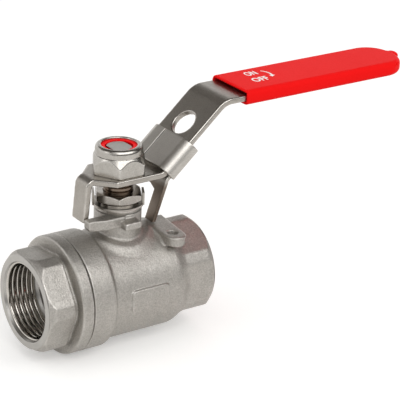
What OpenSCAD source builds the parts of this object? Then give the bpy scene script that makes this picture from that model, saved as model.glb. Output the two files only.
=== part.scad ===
// Two-piece threaded ball valve with a padlockable lever, 3/4 inch (DN 20).
// Millimetres. The origin is the centre of the inlet face, +X runs along the
// pipe towards the outlet, +Z runs up the stem. The modules below are written
// about the ball's centre, and at_ball() carries them to the part's own frame.

/* [Pipe ends] */
// Minor radius of the parallel pipe thread
thread_minor_r = 12.06; // [11:0.01:12.4]
// Extra minor radius in the outlet, inside the thread's tolerance
outlet_ease = 0.16; // [0.16:0.01:0.24]
// Depth of the thread form in the inlet
thread_depth = 1.16; // [0.6:0.01:1.2]
// Distance from crest to crest
thread_pitch = 1.814; // [1.4:0.001:2.4]
// Flat land left on each crest
crest_land = 0.36; // [0.2:0.01:0.5]
// Depth of the threaded mouth at each end
thread_len = 13; // [9:0.1:16]
// Width of the countersink outside the thread's grooves
mouth_flare = 0.48; // [0.3:0.01:1]
// Depth of that countersink
mouth_depth = 0.9; // [0.4:0.1:1.5]
// Wall between the thread's grooves and the wide flats
wrench_wall = 2.78; // [2.3:0.01:4]
// Height of the blunt corners above the wide flats
corner_rise = 1.4; // [1.1:0.1:2]
// Length of the chamfer on the outer end of each wrench end
wrench_chamfer = 1.9; // [0.5:0.1:2.6]
// Depth to which that chamfer cuts below the wide flats
chamfer_drop = 0.6; // [0.2:0.1:1]
// Turn of the body's flats about the pipe, from a corner pointing down
body_turn = 0; // [0:1:59]
// Turn of the end cap's flats, as screwed home
cap_turn = 24; // [0:1:59]

/* [Casting] */
// Plain waterway between the inlet seat and the thread
inlet_web = 9.5; // [8.6:0.1:20]
// Plain waterway between the outlet seat and the thread
outlet_web = 3.5; // [2.5:0.1:12]
// Length of the end cap's screwed spigot
spigot_len = 9.9; // [8:0.1:10.4]
// Gap that shows as the seam
seam_gap = 0.3; // [0.1:0.05:0.6]
// Wall of the joint ring around the spigot
ring_wall = 3.25; // [2.4:0.05:6]
// Length of the joint ring on the body
body_ring_len = 8.6; // [6:0.1:9.5]
// Length of the joint ring on the end cap
cap_ring_len = 4.1; // [3:0.1:5]
// Rounding of the joint ring's free edge
ring_round = 0.9; // [0.3:0.1:1.4]
// Wall of the barrel around the ball's cavity
barrel_wall = 2.6; // [2:0.1:3.4]
// Wall between the outlet seat's pocket and the shoulder
end_wall = 2.1; // [1.5:0.1:3]
// Length of the shoulder cone
shoulder_len = 3.4; // [2:0.1:4]
// Fillet leg where the joint ring steps down
ring_fillet = 1.5; // [0.5:0.1:1.6]
// Wall of the neck around the packing box
neck_wall = 1.27; // [1:0.01:2]
// Spread of the neck's cast root
neck_root = 1.9; // [1:0.1:5]
// Rise of that root above the barrel
neck_root_rise = 1.7; // [1:0.1:3]
// Depth to which that root sinks into the barrel
neck_root_sink = 4; // [3.5:0.1:5]

/* [Stops and ear] */
// Thickness of the lug that stops the lever
stop_w = 3.4; // [2.5:0.1:4]
// Length of the stop lugs past the lever's tab
stop_past = 1.05; // [0.5:0.05:2]
// Height of the stop lugs
stop_h = 3; // [2:0.1:4]
// Gap between a stop lug and the lever's tab
stop_gap = 0.15; // [0.05:0.05:0.5]
// Length of the guard lug along the pipe
guard_len = 6.3; // [4:0.1:7]
// Offset of the guard lug's middle from the stem along the pipe
guard_x = -1.1; // [-2:0.1:0]
// Gap between the guard lug and the latch's tongue as it swings past
guard_gap = 0.5; // [0.4:0.1:1.5]
// Height of the guard lug
guard_h = 2.5; // [1.5:0.1:3]
// Drop from the neck's top to the top of the guard lug
guard_drop = 1.4; // [0.5:0.1:3]
// Radius of the ear's rounded end
ear_r = 3.4; // [3:0.1:4]
// Spread of the ear's root along the pipe
ear_spread = 2; // [0:0.1:3]
// Radius of the seal-wire hole in the ear
ear_hole_r = 1.9; // [1:0.05:2.2]
// Distance from the barrel's end back to the ear's middle
ear_inset = 1; // [0.5:0.1:2]
// Distance from the stem plane to the centre of the ear's rounded end
ear_reach = 13.6; // [12:0.1:14.5]
// Distance from that centre in to the seal-wire hole
ear_hole_in = 1.9; // [1:0.1:2.5]
// Thickness of the ear
ear_t = 3.6; // [2.5:0.1:4]
// Height of the ear's top above the barrel
ear_rise = 0.05; // [0:0.05:0.5]
// Length of the raised pad on the side of the barrel
pad_w = 14.7; // [8:0.1:16]
// Height of the raised pad
pad_h = 8; // [4:0.1:10]
// Corner radius of the raised pad
pad_corner = 1.5; // [0.5:0.1:2]
// Ball centre to the middle of the pad along the pipe
pad_x = 1.9; // [0:0.1:4]
// Height of the pad above the barrel
pad_proud = 0.5; // [0.2:0.1:0.8]

/* [Trim] */
// Radius of the waterway
port_r = 10; // [9:0.05:10.4]
// Wall of the ball over its waterway
ball_wall = 5; // [4.4:0.05:5.6]
// Clearance around the ball in its cavity
cavity_clear = 0.9; // [0.5:0.05:1.4]
// Length of the seat rings
seat_len = 4.6; // [4:0.1:5]
// Distance by which the back of each seat ring lies inside the ball's radius
seat_nip = 1.5; // [1:0.1:2]
// Step from the cavity in to the seat rings
seat_shelf = 1.4; // [1:0.05:1.8]
// Radial ease of the seat rings' bore over the waterway
seat_ease = 0.1; // [0.05:0.05:0.4]
// Radial clearance of the ball in its seats
seat_clear = 0.08; // [0.02:0.01:0.1]
// Radial clearance of the seat rings in their pockets
pocket_clear = 0.05; // [0.02:0.01:0.1]
// Length by which the spigot reaches past the back of the inlet seat
seat_hold = 2.5; // [2:0.1:3]
// Radial width of the body gasket
gasket_w = 1.05; // [0.8:0.05:1.6]
// Thickness of the body gasket
gasket_t = 1; // [0.6:0.1:1.4]
// Width of the stem's drive tongue
drive_w = 5.4; // [4:0.1:6]
// Length of the stem's drive tongue
drive_len = 9; // [7:0.1:10]
// Clearance on each side of the drive tongue in the ball's slot
drive_clear = 0.1; // [0.05:0.01:0.2]
// Metal between the waterway and the floor of the drive slot
drive_floor = 1.2; // [0.8:0.1:2]
// Clearance under the foot of the drive tongue
foot_clear = 0.4; // [0.2:0.1:0.6]

/* [Stem and packing] */
// Radius of the stem, for an M10 thread
stem_r = 5; // [4.8:0.05:5.2]
// Radial running clearance of the stem
stem_clear = 0.06; // [0.03:0.01:0.1]
// Width of the blow-out-proof flange at the stem's foot
flange_w = 1.4; // [1:0.1:1.6]
// Gap between the ball and that flange
flange_gap = 0.3; // [0.2:0.1:0.6]
// Thickness of that flange
flange_t = 1.5; // [1:0.1:1.8]
// Radial clearance of the flange in its pocket
flange_clear = 0.2; // [0.1:0.05:0.3]
// Thickness of the thrust washer above the flange
thrust_t = 1; // [0.6:0.1:1.2]
// Length of the stem's guide bore above the thrust washer
guide_len = 2.4; // [2:0.1:3]
// Section radius of the stem's O-ring
o_ring_r = 0.44; // [0.3:0.01:0.5]
// Radial width of the packing
packing_w = 1.7; // [1.3:0.05:2]
// Height of each packing ring
packing_h = 1.55; // [1.2:0.05:1.7]
// Height of the V on the packing rings
packing_vee = 0.45; // [0.2:0.05:0.6]
// Radial gap of packing, gland and spigot in their bores
box_clear = 0.03; // [0.01:0.01:0.05]
// Length of the gland below its lip
gland_skirt = 2.03; // [1.5:0.01:2.6]
// Width of the gland's lip
gland_lip_w = 0.9; // [0.5:0.1:1.2]
// Thickness of the gland's lip
gland_lip_t = 0.4; // [0.3:0.1:0.8]
// Gap between the gland's lip and the neck
gland_gap = 0.1; // [0.05:0.05:0.2]
// Face gap where turning pieces bear on fixed ones
bear_gap = 0.02; // [0.01:0.01:0.05]
// Width of the lower spring washer
spring_low_w = 2.5; // [2:0.1:2.8]
// Width of the upper spring washer
spring_high_w = 1.9; // [1.4:0.1:2.2]
// Thickness of the spring washers
spring_t = 0.55; // [0.4:0.05:0.8]
// Cone height of the spring washers
spring_rise = 0.4; // [0.2:0.05:0.5]
// Width of the tab washer
tab_washer_w = 3.7; // [3.3:0.1:4]
// Thickness of the tab washer
tab_washer_t = 0.7; // [0.5:0.1:0.9]
// Height of the tab washer's bent tabs
tab_washer_h = 4.4; // [2:0.1:4.6]
// Width of the tab washer's bent tabs
tab_washer_tab = 5; // [3:0.1:6]
// Width across flats of the packing nut
packing_nut_af = 15; // [14.6:0.1:15.4]
// Height of the packing nut
packing_nut_h = 3.1; // [2.4:0.1:4]
// Turn of the packing nut and the tab washer
packing_nut_turn = 1; // [0:1:59]
// Length of stem that shows between the packing nut and the lever
stem_show = 4.78; // [2:0.01:8]
// Width across the two flats at the stem's head
head_af = 7; // [6:0.1:8]
// Depth of the stem's M10 thread form
stem_thread_depth = 0.55; // [0.3:0.05:0.7]
// Pitch of the stem's M10 thread form
stem_thread_pitch = 1.5; // [1:0.05:1.6]

/* [Lever] */
// Thickness of the lever's sheet
lever_t = 2.1; // [1.6:0.1:2.6]
// Width of the lever
lever_w = 19; // [17:0.1:21]
// Room between the handle nut's corners and the foot of the incline
nut_room = 1.885; // [1.6:0.005:4]
// Slope of the incline in degrees
incline_angle = 41.6; // [35:0.1:45]
// Height that the incline gains
incline_rise = 21.3; // [20.6:0.1:28]
// Stem axis to the end of the lever's sheet
lever_end = 110; // [80:0.5:140]
// Bend radius at the foot of the incline and at the tab
bend_r = 2.1; // [1.8:0.1:3]
// Bend radius at the crest of the incline
crest_r = 7; // [3:0.1:8]
// Stem axis to the middle of the tab's sheet
tab_x = 13.5; // [13.2:0.1:15]
// Width of the tab
tab_w = 7.3; // [5:0.1:8]
// Overlap of the tab's foot with the stop lugs
tab_overlap = 1.8; // [1:0.1:2.5]
// Outward lean of the tab in degrees
tab_lean = 5; // [0:0.5:5]
// Stem axis to the full width of the plate, on the tab's side
shoulder_x = 6.3; // [5:0.1:8]
// Radial gap between the stem's head and the lever's hole
head_gap = 0.06; // [0.02:0.01:0.2]
// Radius of the padlock hole
padlock_r = 4.5; // [3.5:0.1:5]
// Gap between the resting latch and the padlock hole
padlock_gap = 0.7; // [0.3:0.1:1.2]

/* [Latch] */
// Thickness of the latch's sheet
latch_t = 1.4; // [1:0.1:1.5]
// Clearance of the latch around the lever
latch_clear = 0.15; // [0.1:0.05:0.2]
// Length of the latch's sleeve
latch_len = 12.8; // [10:0.1:13]
// Distance up the incline from its foot to the sleeve
latch_u = 0.5; // [0.3:0.1:0.9]
// Inner bend radius of the sleeve's corners
latch_bend = 0.45; // [0.3:0.05:0.5]
// Width of the open seam on the sleeve's top
latch_seam = 0.5; // [0.2:0.1:1]
// Offset of that seam from the lever's middle
latch_seam_y = 3.1; // [0:0.1:5]
// Width of the tongue at its foot
tongue_w = 4.8; // [3:0.1:6]
// Gap between the tongue's foot and the ear
tongue_gap = 0.45; // [0.3:0.05:1]
// Height over which the tongue widens into the sleeve
tongue_rise = 12.5; // [11:0.1:14]
// Distance along the sleeve's underside to the tongue's knee
tongue_knee = 0.6; // [0.4:0.1:1]
// Bend radius of the tongue, on its middle line
tongue_bend = 1.8; // [1.5:0.1:2.5]
// Sideways slope of the tongue, in millimetres per millimetre
tongue_slope = 0.41; // [0.3:0.01:0.43]

/* [Handle nut] */
// Width across flats of the handle nut
nut_af = 17; // [16:0.1:18]
// Height of the handle nut's hexagon
nut_hex_h = 6.4; // [5:0.1:8]
// Height of the collar above the hexagon
collar_h = 2.7; // [2:0.1:4]
// Step from the flats in to the collar's foot
collar_in = 0.4; // [0.2:0.1:0.8]
// Roll of the collar towards its rim
collar_roll = 1.3; // [1:0.1:1.4]
// Turn of the handle nut about the stem
nut_turn = 56; // [0:1:59]
// Radial width of the nylon insert
insert_w = 1.05; // [0.8:0.05:1.1]
// Bite of the nylon insert's lip over the stem
insert_lip = 0.3; // [0.1:0.05:0.4]
// Height of the nylon insert
insert_h = 2.6; // [1.5:0.1:3]
// Depth of the nylon insert below the rim
insert_drop = 0.45; // [0.2:0.05:0.5]
// Radial gap around the nylon insert
insert_clear = 0.02; // [0.01:0.01:0.05]
// Depth of the stem's end below the rim
stem_drop = 0.6; // [0.5:0.05:1.5]
// Chamfer on the stem's end
stem_chamfer = 0.8; // [0.6:0.1:1.2]

/* [Grip] */
// Distance from the incline's crest to the mouth of the grip
grip_start = 8.5; // [6:0.1:14]
// Length by which the grip reaches past the lever's end
grip_over = 5.8; // [4:0.1:14]
// Wall of the grip
grip_wall = 1; // [0.8:0.1:2]
// Play between the top of the lever's sheet and the grip's pocket
grip_play = 0.8; // [0.3:0.1:1.2]
// Corner radius of the grip's tip
grip_tip_r = 9; // [4:0.1:10]
// Radius along the grip's long edges
grip_edge_r = 1.9; // [0.5:0.1:2.1]
// Clearance of the grip on the lever
grip_clear = 0.02; // [0.01:0.01:0.05]

/* [Hidden] */
$fn = 96;
hair = 0.01;

// Radii outwards from the waterway
ball_r = port_r + ball_wall;
cavity_r = ball_r + cavity_clear;
seat_r = cavity_r - seat_shelf;
seat_bore_r = port_r + seat_ease;
pocket_r = seat_r + pocket_clear;
spigot_r = cavity_r + gasket_w;
socket_r = spigot_r + box_clear;
barrel_r = cavity_r + barrel_wall;
ring_r = spigot_r + ring_wall;

// Stations along the pipe, from the ball's centre outwards
seat_back = ball_r - seat_nip;
seat_front = seat_back - seat_len;
spigot_end = seat_back - seat_hold;
seam_x = spigot_end + spigot_len;
barrel_end = seat_back + end_wall;
inlet_len = seat_back + inlet_web + thread_len;
outlet_len = seat_back + outlet_web + thread_len;

// Pipe ends
groove_r = thread_minor_r + thread_depth;
mouth_r = groove_r + mouth_flare;
wrench_af = 2 * (groove_r + wrench_wall);
wrench_corner_af = wrench_af + 2 * corner_rise;
corner_r = wrench_corner_af / 2;
shoulder_r = wrench_af / 2 + 0.1;

// Radii outwards from the stem
bore_r = stem_r + stem_clear;
flange_r = stem_r + flange_w;
packing_r = stem_r + packing_w;
box_r = packing_r + box_clear;
neck_r = box_r + neck_wall;
neck_root_r = neck_r + neck_root;
gland_lip_r = packing_r + gland_lip_w;
spring_low_r = stem_r + spring_low_w;
spring_high_r = stem_r + spring_high_w;
tab_washer_r = stem_r + tab_washer_w;
insert_r = stem_r + insert_w;
collar_r = nut_af / 2 - collar_in;
collar_top_r = collar_r - collar_roll;

// Heights up the stem
slot_foot = port_r + drive_floor;
drive_foot = slot_foot + foot_clear;
flange_z = ball_r + flange_gap;
thrust_top = flange_z + flange_t + thrust_t;
box_floor = thrust_top + guide_len;
packing_top = box_floor + 3 * packing_h;
gland_foot = packing_top + bear_gap;
neck_top = gland_foot + gland_skirt - gland_gap;
neck_root_top = barrel_r + neck_root_rise;
gland_top = neck_top + gland_gap + gland_lip_t;
spring_low_z = gland_top + bear_gap;
tab_washer_z = spring_low_z + spring_rise + spring_t;
spring_high_z = tab_washer_z + tab_washer_t;
packing_nut_z = spring_high_z + spring_rise + spring_t;
plate_z = packing_nut_z + packing_nut_h + stem_show;
plate_top = plate_z + lever_t;
nut_h = nut_hex_h + collar_h;
nut_top = plate_top + nut_h;
stem_top = nut_top - stem_drop;
insert_top = nut_top - insert_drop;
ear_top = barrel_r + ear_rise;

// Lever, latch and grip
incline_x = nut_af / 2 / cos(30) + nut_room;
incline_run = incline_rise / tan(incline_angle);
crest_top = plate_top + incline_rise;
padlock_u = latch_u + latch_len + padlock_gap + padlock_r;
tab_half = tab_w / 2;
tab_foot = neck_top - tab_overlap;
latch_corner = latch_bend + latch_t;
slide_bottom = -lever_t - latch_clear - latch_t;
slide_top = latch_clear + latch_t;
slide_half = lever_w / 2 + latch_clear + latch_t;
tongue_n = slide_bottom + latch_t / 2;
tongue_x = incline_x - tongue_n * sin(incline_angle) - tongue_knee * cos(incline_angle);
tongue_foot = ear_top + tongue_gap;
tongue_root = tongue_foot + tongue_rise;
grip_x = incline_x + incline_run + grip_start;
grip_end = lever_end + grip_over;
grip_w = lever_w + 2 * grip_wall;
grip_t = lever_t + grip_play + 2 * grip_wall;

// Stops and ear
stop_in = tab_half + stop_gap;
stop_reach = tab_x + lever_t / 2 + stop_past;
guard_reach = tongue_x - latch_t / 2 - guard_gap;
ear_x = barrel_end - ear_inset;
ear_hole_y = ear_reach - ear_hole_in;

steel = [0.74, 0.73, 0.70];
bright_steel = [0.80, 0.80, 0.79];
cast_steel = [0.66, 0.65, 0.62];
ptfe = [0.93, 0.93, 0.90];
fluoro_rubber = [0.16, 0.14, 0.12];
red_vinyl = [0.89, 0.07, 0.07];
red_nylon = [0.90, 0.10, 0.08];

// ---- Frames -------------------------------------------------------------

// From the ball's centre to the part's origin at the inlet face
module at_ball() { translate([inlet_len, 0, 0]) children(); }

// Turns a shape that stands along Z to run along X from x
module along_x(x) { translate([x, 0, 0]) rotate([0, 90, 0]) children(); }

// Puts a shape in the incline's frame: X up the slope, Z out of its top face
module on_incline() { translate([incline_x, 0, plate_top]) rotate([0, -incline_angle, 0]) children(); }

// ---- Shared shapes ------------------------------------------------------

function unit(a) = [cos(a), sin(a)];

// Centre of the arc that rounds a corner p between two headings
function arc_centre(p, a_in, a_out, r) =
    p - unit(a_in) * r * tan(abs(a_out - a_in) / 2) + unit(a_in + 90 * sign(a_out - a_in)) * r;

// Points of that arc, moved by off to the left of the heading
function bend_side(p, a_in, a_out, r, off, n = 8) =
    let (s = sign(a_out - a_in), c = arc_centre(p, a_in, a_out, r))
    [for (i = [0:n]) c - unit(a_in + (a_out - a_in) * i / n + 90 * s) * (r - s * off)];

module ring(r_out, r_in, h) {
    difference() {
        cylinder(r = r_out, h = h);
        translate([0, 0, -1]) cylinder(r = r_in, h = h + 2);
    }
}

module rounded_rect(w, h, r) {
    square([w - 2 * r, h], center = true);
    square([w, h - 2 * r], center = true);
    for (x = [-1, 1], y = [-1, 1])
        translate([x * (w / 2 - r), y * (h / 2 - r)]) circle(r = r);
}

// Hexagon of width af across flats
module hexagon(af) { circle(r = af / 2 / cos(30), $fn = 6); }

// Hexagonal wrench end with blunt corners, chamfered at its top
module wrench_end(h) {
    flat_r = wrench_af / 2;
    intersection() {
        linear_extrude(h) intersection() {
            hexagon(wrench_af);
            rotate(30) hexagon(wrench_corner_af);
        }
        union() {
            cylinder(r = corner_r + 2, h = h - wrench_chamfer);
            translate([0, 0, h - wrench_chamfer - hair])
                cylinder(r1 = corner_r + 0.2, r2 = flat_r - chamfer_drop, h = wrench_chamfer + hair);
        }
    }
}

// Threaded mouth, opening at z = 0 and running down: ring grooves with a
// cylindrical land on each crest, and a countersink
module threaded_mouth(ease) {
    minor = thread_minor_r + ease;
    first = mouth_depth + 0.5 * crest_land;
    turns = floor((thread_len - first - 0.4) / thread_pitch);
    flank = (thread_pitch - crest_land) / 2;
    rotate_extrude() polygon(concat(
        [[0, 1], [mouth_r, 1], [mouth_r, 0], [minor, -mouth_depth]],
        [for (i = [0:turns - 1], j = [0:2])
            let (z = -first - i * thread_pitch)
            j == 0 ? [minor, z - crest_land / 2] :
            j == 1 ? [groove_r, z - crest_land / 2 - flank] :
                     [minor, z - crest_land / 2 - 2 * flank]],
        [[minor, -thread_len], [0, -thread_len]]));
}

// Cone washer, its inner edge raised
module cone_washer(r_out, z) {
    translate([0, 0, z]) rotate_extrude() polygon([
        [bore_r, spring_rise], [r_out, 0], [r_out, spring_t], [bore_r, spring_rise + spring_t]]);
}

// Nut blank with both faces chamfered
module nut_blank(af, h, chamfer) {
    r_corner = af / 2 / cos(30);
    intersection() {
        linear_extrude(h) hexagon(af);
        rotate_extrude() polygon([
            [0, 0], [af / 2 - 0.2, 0], [r_corner + 0.1, chamfer], [r_corner + 0.1, h - chamfer],
            [af / 2 - 0.2, h], [0, h]]);
    }
}

// ---- Casting ------------------------------------------------------------

// Outside of the body before the neck and its lugs are added
module body_outside() {
    front = -seam_x + seam_gap / 2;
    ring_back = -seam_x + body_ring_len;
    rotate([0, 90, 0]) rotate_extrude() polygon([
        [0, front], [ring_r - 0.3, front], [ring_r, front + 0.3], [ring_r, ring_back],
        [barrel_r, ring_back + ring_fillet], [barrel_r, barrel_end],
        [shoulder_r, barrel_end + shoulder_len], [0, barrel_end + shoulder_len]]);
    along_x(barrel_end) rotate(body_turn) wrench_end(outlet_len - barrel_end);
}

// Neck with its spreading root
module neck_outside() {
    cylinder(r = neck_r, h = neck_top);
    translate([0, 0, barrel_r - neck_root_sink])
        cylinder(r1 = neck_root_r, r2 = neck_r, h = neck_root_rise + neck_root_sink);
}

// Lug that stops the lever's tab when the valve is open
module stop_lug() {
    translate([-stop_reach, -stop_in - stop_w, neck_top - stop_h])
        cube([stop_reach - neck_r / 2, stop_w, stop_h]);
}

// The same lug mirrored for the shut position, a quarter turn on
module stop_lug_shut() { rotate(-90) mirror([0, 1, 0]) stop_lug(); }

module guard_lug() {
    translate([guard_x - guard_len / 2, -guard_reach, neck_top - guard_drop - guard_h])
        cube([guard_len, guard_reach - neck_r / 2, guard_h]);
}

// Flat ear at the end of the barrel, with its rounded end
module ear() {
    translate([0, 0, ear_top - ear_t]) {
        translate([ear_x, -ear_reach, 0]) cylinder(r = ear_r, h = ear_t);
        linear_extrude(ear_t) polygon([
            [ear_x - ear_r, -ear_reach], [ear_x + ear_r, -ear_reach],
            [ear_x + ear_r + ear_spread, ear_r], [ear_x - ear_r, ear_r]]);
    }
}

module raised_pad() {
    intersection() {
        along_x(-barrel_end) cylinder(r = barrel_r + pad_proud, h = 2 * barrel_end);
        translate([pad_x, 0, 0]) rotate([90, 0, 0])
            linear_extrude(barrel_r + 2) rounded_rect(pad_w, pad_h, pad_corner);
    }
}

// Waterway, seat pocket, ball cavity and screwed socket, as one cut
module body_inside() {
    front = -seam_x - 1;
    shelf = -spigot_end + gasket_t;
    along_x(front) cylinder(r = socket_r, h = shelf - front);
    along_x(shelf - hair) cylinder(r = cavity_r, h = seat_front - shelf + hair);
    along_x(seat_front - hair) cylinder(r = pocket_r, h = seat_back - seat_front + hair);
    along_x(seat_back - hair) cylinder(r = port_r, h = outlet_len - thread_len - seat_back + 1);
    along_x(outlet_len) threaded_mouth(outlet_ease);
}

// Pocket for the stem's flange, guide bore and packing box, as one cut
module neck_inside() {
    cylinder(r = flange_r + flange_clear, h = thrust_top);
    cylinder(r = bore_r, h = neck_top);
    translate([0, 0, box_floor]) cylinder(r = box_r, h = neck_top);
}

module body() {
    color(cast_steel) at_ball() difference() {
        union() {
            body_outside();
            neck_outside();
            stop_lug();
            stop_lug_shut();
            guard_lug();
            ear();
            raised_pad();
        }
        body_inside();
        neck_inside();
        translate([ear_x, -ear_hole_y, ear_top - ear_t]) cylinder(r = ear_hole_r, h = ear_t + 1);
    }
}

module end_cap() {
    ring_back = seam_x + seam_gap / 2;
    ring_front = ring_back + cap_ring_len;
    color(cast_steel) at_ball() mirror([1, 0, 0]) difference() {
        union() {
            along_x(spigot_end) cylinder(r = spigot_r, h = ring_back - spigot_end + 1);
            rotate([0, 90, 0]) rotate_extrude() polygon([
                [0, ring_back], [ring_r - 0.3, ring_back], [ring_r, ring_back + 0.3],
                [ring_r, ring_front - ring_round], [ring_r - ring_round, ring_front], [0, ring_front]]);
            along_x(ring_back) rotate(cap_turn) wrench_end(inlet_len - ring_back);
        }
        along_x(spigot_end - 1) cylinder(r = pocket_r, h = seat_back - spigot_end + 1);
        along_x(spigot_end) cylinder(r = port_r, h = inlet_len - thread_len - spigot_end + 1);
        along_x(inlet_len) threaded_mouth(0);
    }
}

// ---- Trim ---------------------------------------------------------------

module ball() {
    slot_w = drive_w + 2 * drive_clear;
    color(bright_steel) at_ball() difference() {
        sphere(r = ball_r);
        along_x(-ball_r - 1) cylinder(r = port_r, h = 2 * ball_r + 2);
        translate([-slot_w / 2, -ball_r, slot_foot]) cube([slot_w, 2 * ball_r, ball_r]);
    }
}

module seat_ring() {
    difference() {
        along_x(seat_front) ring(seat_r, seat_bore_r, seat_len);
        sphere(r = ball_r + seat_clear);
    }
}

module seat_ring_outlet() { color(ptfe) at_ball() seat_ring(); }

module seat_ring_inlet() { color(ptfe) at_ball() mirror([1, 0, 0]) seat_ring(); }

module body_gasket() { color(ptfe) at_ball() along_x(-spigot_end) ring(spigot_r, cavity_r, gasket_t); }

// ---- Stem and packing ---------------------------------------------------

// Ring grooves that stand for the M10 thread between two heights
module stem_grooves(z0, z1) {
    n = floor((z1 - z0) / stem_thread_pitch);
    for (i = [0:n - 1]) translate([0, 0, z0 + i * stem_thread_pitch]) rotate_extrude() polygon([
        [stem_r - stem_thread_depth, stem_thread_pitch / 2], [stem_r + 1, -0.3], [stem_r + 1, stem_thread_pitch + 0.3]]);
}

module stem() {
    groove_mid = thrust_top + guide_len / 2;
    groove_half = o_ring_r + 0.1;
    color(steel) at_ball() difference() {
        union() {
            intersection() {
                translate([-drive_w / 2, -drive_len / 2, drive_foot])
                    cube([drive_w, drive_len, flange_z - drive_foot + hair]);
                cylinder(r = flange_r, h = flange_z + 1);
            }
            translate([0, 0, flange_z]) cylinder(r = flange_r, h = flange_t);
            translate([0, 0, flange_z]) cylinder(r = stem_r, h = plate_z - flange_z);
            intersection() {
                translate([0, 0, plate_z - hair]) cylinder(r = stem_r, h = stem_top - plate_z + hair);
                translate([-head_af / 2, -stem_r, 0]) cube([head_af, 2 * stem_r, stem_top]);
            }
        }
        translate([0, 0, groove_mid - groove_half])
            ring(stem_r + 1, stem_r - 2 * o_ring_r - 0.04, 2 * groove_half);
        stem_grooves(packing_nut_z + packing_nut_h, plate_z - 0.3);
        translate([0, 0, stem_top - stem_chamfer]) difference() {
            cylinder(r = stem_r + 1, h = 2 * stem_chamfer);
            translate([0, 0, -hair])
                cylinder(r1 = stem_r, r2 = stem_r - stem_chamfer, h = stem_chamfer + 2 * hair);
        }
    }
}

module stem_o_ring() {
    color(fluoro_rubber) at_ball() translate([0, 0, thrust_top + guide_len / 2])
        rotate_extrude() translate([stem_r - o_ring_r - 0.01, 0]) circle(r = o_ring_r, $fn = 32);
}

module thrust_washer() {
    color(ptfe) at_ball() translate([0, 0, thrust_top - thrust_t + bear_gap])
        ring(flange_r, bore_r, thrust_t - bear_gap);
}

// V-section packing ring number i, counted from the bottom; top and foot say
// whether its upper and lower faces carry the V
module packing_ring(i, top, foot) {
    z = box_floor + i * packing_h;
    mid = (bore_r + packing_r) / 2;
    color(ptfe) at_ball() translate([0, 0, z]) rotate_extrude() polygon([
        [bore_r, 0], [mid, foot ? packing_vee : 0], [packing_r, 0],
        [packing_r, packing_h], [mid, packing_h + (top ? packing_vee : 0)], [bore_r, packing_h]]);
}

module packing_ring_lower() { packing_ring(0, true, false); }
module packing_ring_middle() { packing_ring(1, true, true); }
module packing_ring_upper() { packing_ring(2, false, true); }

module gland_ring() {
    color(steel) at_ball() difference() {
        union() {
            translate([0, 0, gland_foot]) cylinder(r = packing_r, h = gland_top - gland_foot);
            translate([0, 0, gland_top - gland_lip_t]) cylinder(r = gland_lip_r, h = gland_lip_t);
        }
        cylinder(r = bore_r, h = neck_top * 2);
    }
}

module spring_washer_lower() { color(bright_steel) at_ball() cone_washer(spring_low_r, spring_low_z); }

module spring_washer_upper() { color(bright_steel) at_ball() cone_washer(spring_high_r, spring_high_z); }

module tab_washer() {
    color(steel) at_ball() translate([0, 0, tab_washer_z]) rotate(packing_nut_turn - 30) {
        ring(tab_washer_r, bore_r, tab_washer_t);
        for (side = [0, 180]) rotate(side)
            translate([tab_washer_r - tab_washer_t, -tab_washer_tab / 2, 0])
                cube([tab_washer_t, tab_washer_tab, tab_washer_h]);
    }
}

module packing_nut() {
    color(bright_steel) at_ball() translate([0, 0, packing_nut_z]) difference() {
        rotate(packing_nut_turn) nut_blank(packing_nut_af, packing_nut_h, 0.5);
        translate([0, 0, -1]) cylinder(r = bore_r, h = packing_nut_h + 2);
    }
}

// ---- Lever, nut, grip and latch -----------------------------------------

// Side view of the bent sheet, from the tab's foot to the end in the grip
module lever_side() {
    mid = plate_top - lever_t / 2;
    up = 90 - tab_lean;
    knee = [-tab_x, mid];
    foot = [incline_x + lever_t / 2 * tan(incline_angle / 2), mid];
    crest = foot + [incline_run, incline_rise];
    start = knee - unit(up) * (mid - tab_foot) / sin(up);
    end = [lever_end, crest[1]];
    half = lever_t / 2;
    left = concat([start + unit(up + 90) * half], bend_side(knee, up, 0, bend_r, half),
                  bend_side(foot, 0, incline_angle, bend_r, half),
                  bend_side(crest, incline_angle, 0, crest_r, half), [end + [0, half]]);
    right = concat([start - unit(up + 90) * half], bend_side(knee, up, 0, bend_r, -half),
                   bend_side(foot, 0, incline_angle, bend_r, -half),
                   bend_side(crest, incline_angle, 0, crest_r, -half), [end - [0, half]]);
    polygon(concat(left, [for (i = [len(right) - 1:-1:0]) right[i]]));
}

// Plan of the lever: a narrow tab that flares to the full width
module lever_plan() {
    w = lever_w / 2;
    flare = shoulder_x + w - tab_half;
    polygon([[-2 * tab_x, -tab_half], [-flare, -tab_half], [-shoulder_x, -w], [lever_end + 1, -w],
             [lever_end + 1, w], [-shoulder_x, w], [-flare, tab_half], [-2 * tab_x, tab_half]]);
}

module lever() {
    color(steel) at_ball() difference() {
        intersection() {
            rotate([90, 0, 0]) translate([0, 0, -lever_w / 2]) linear_extrude(lever_w) lever_side();
            linear_extrude(crest_top + 1) lever_plan();
        }
        intersection() {
            cylinder(r = stem_r + head_gap, h = plate_top + 1);
            translate([-head_af / 2 - head_gap, -lever_w / 2, 0])
                cube([head_af + 2 * head_gap, lever_w, plate_top + 1]);
        }
        on_incline() translate([padlock_u, 0, -lever_t - 1]) cylinder(r = padlock_r, h = lever_t + 2);
    }
}

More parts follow.
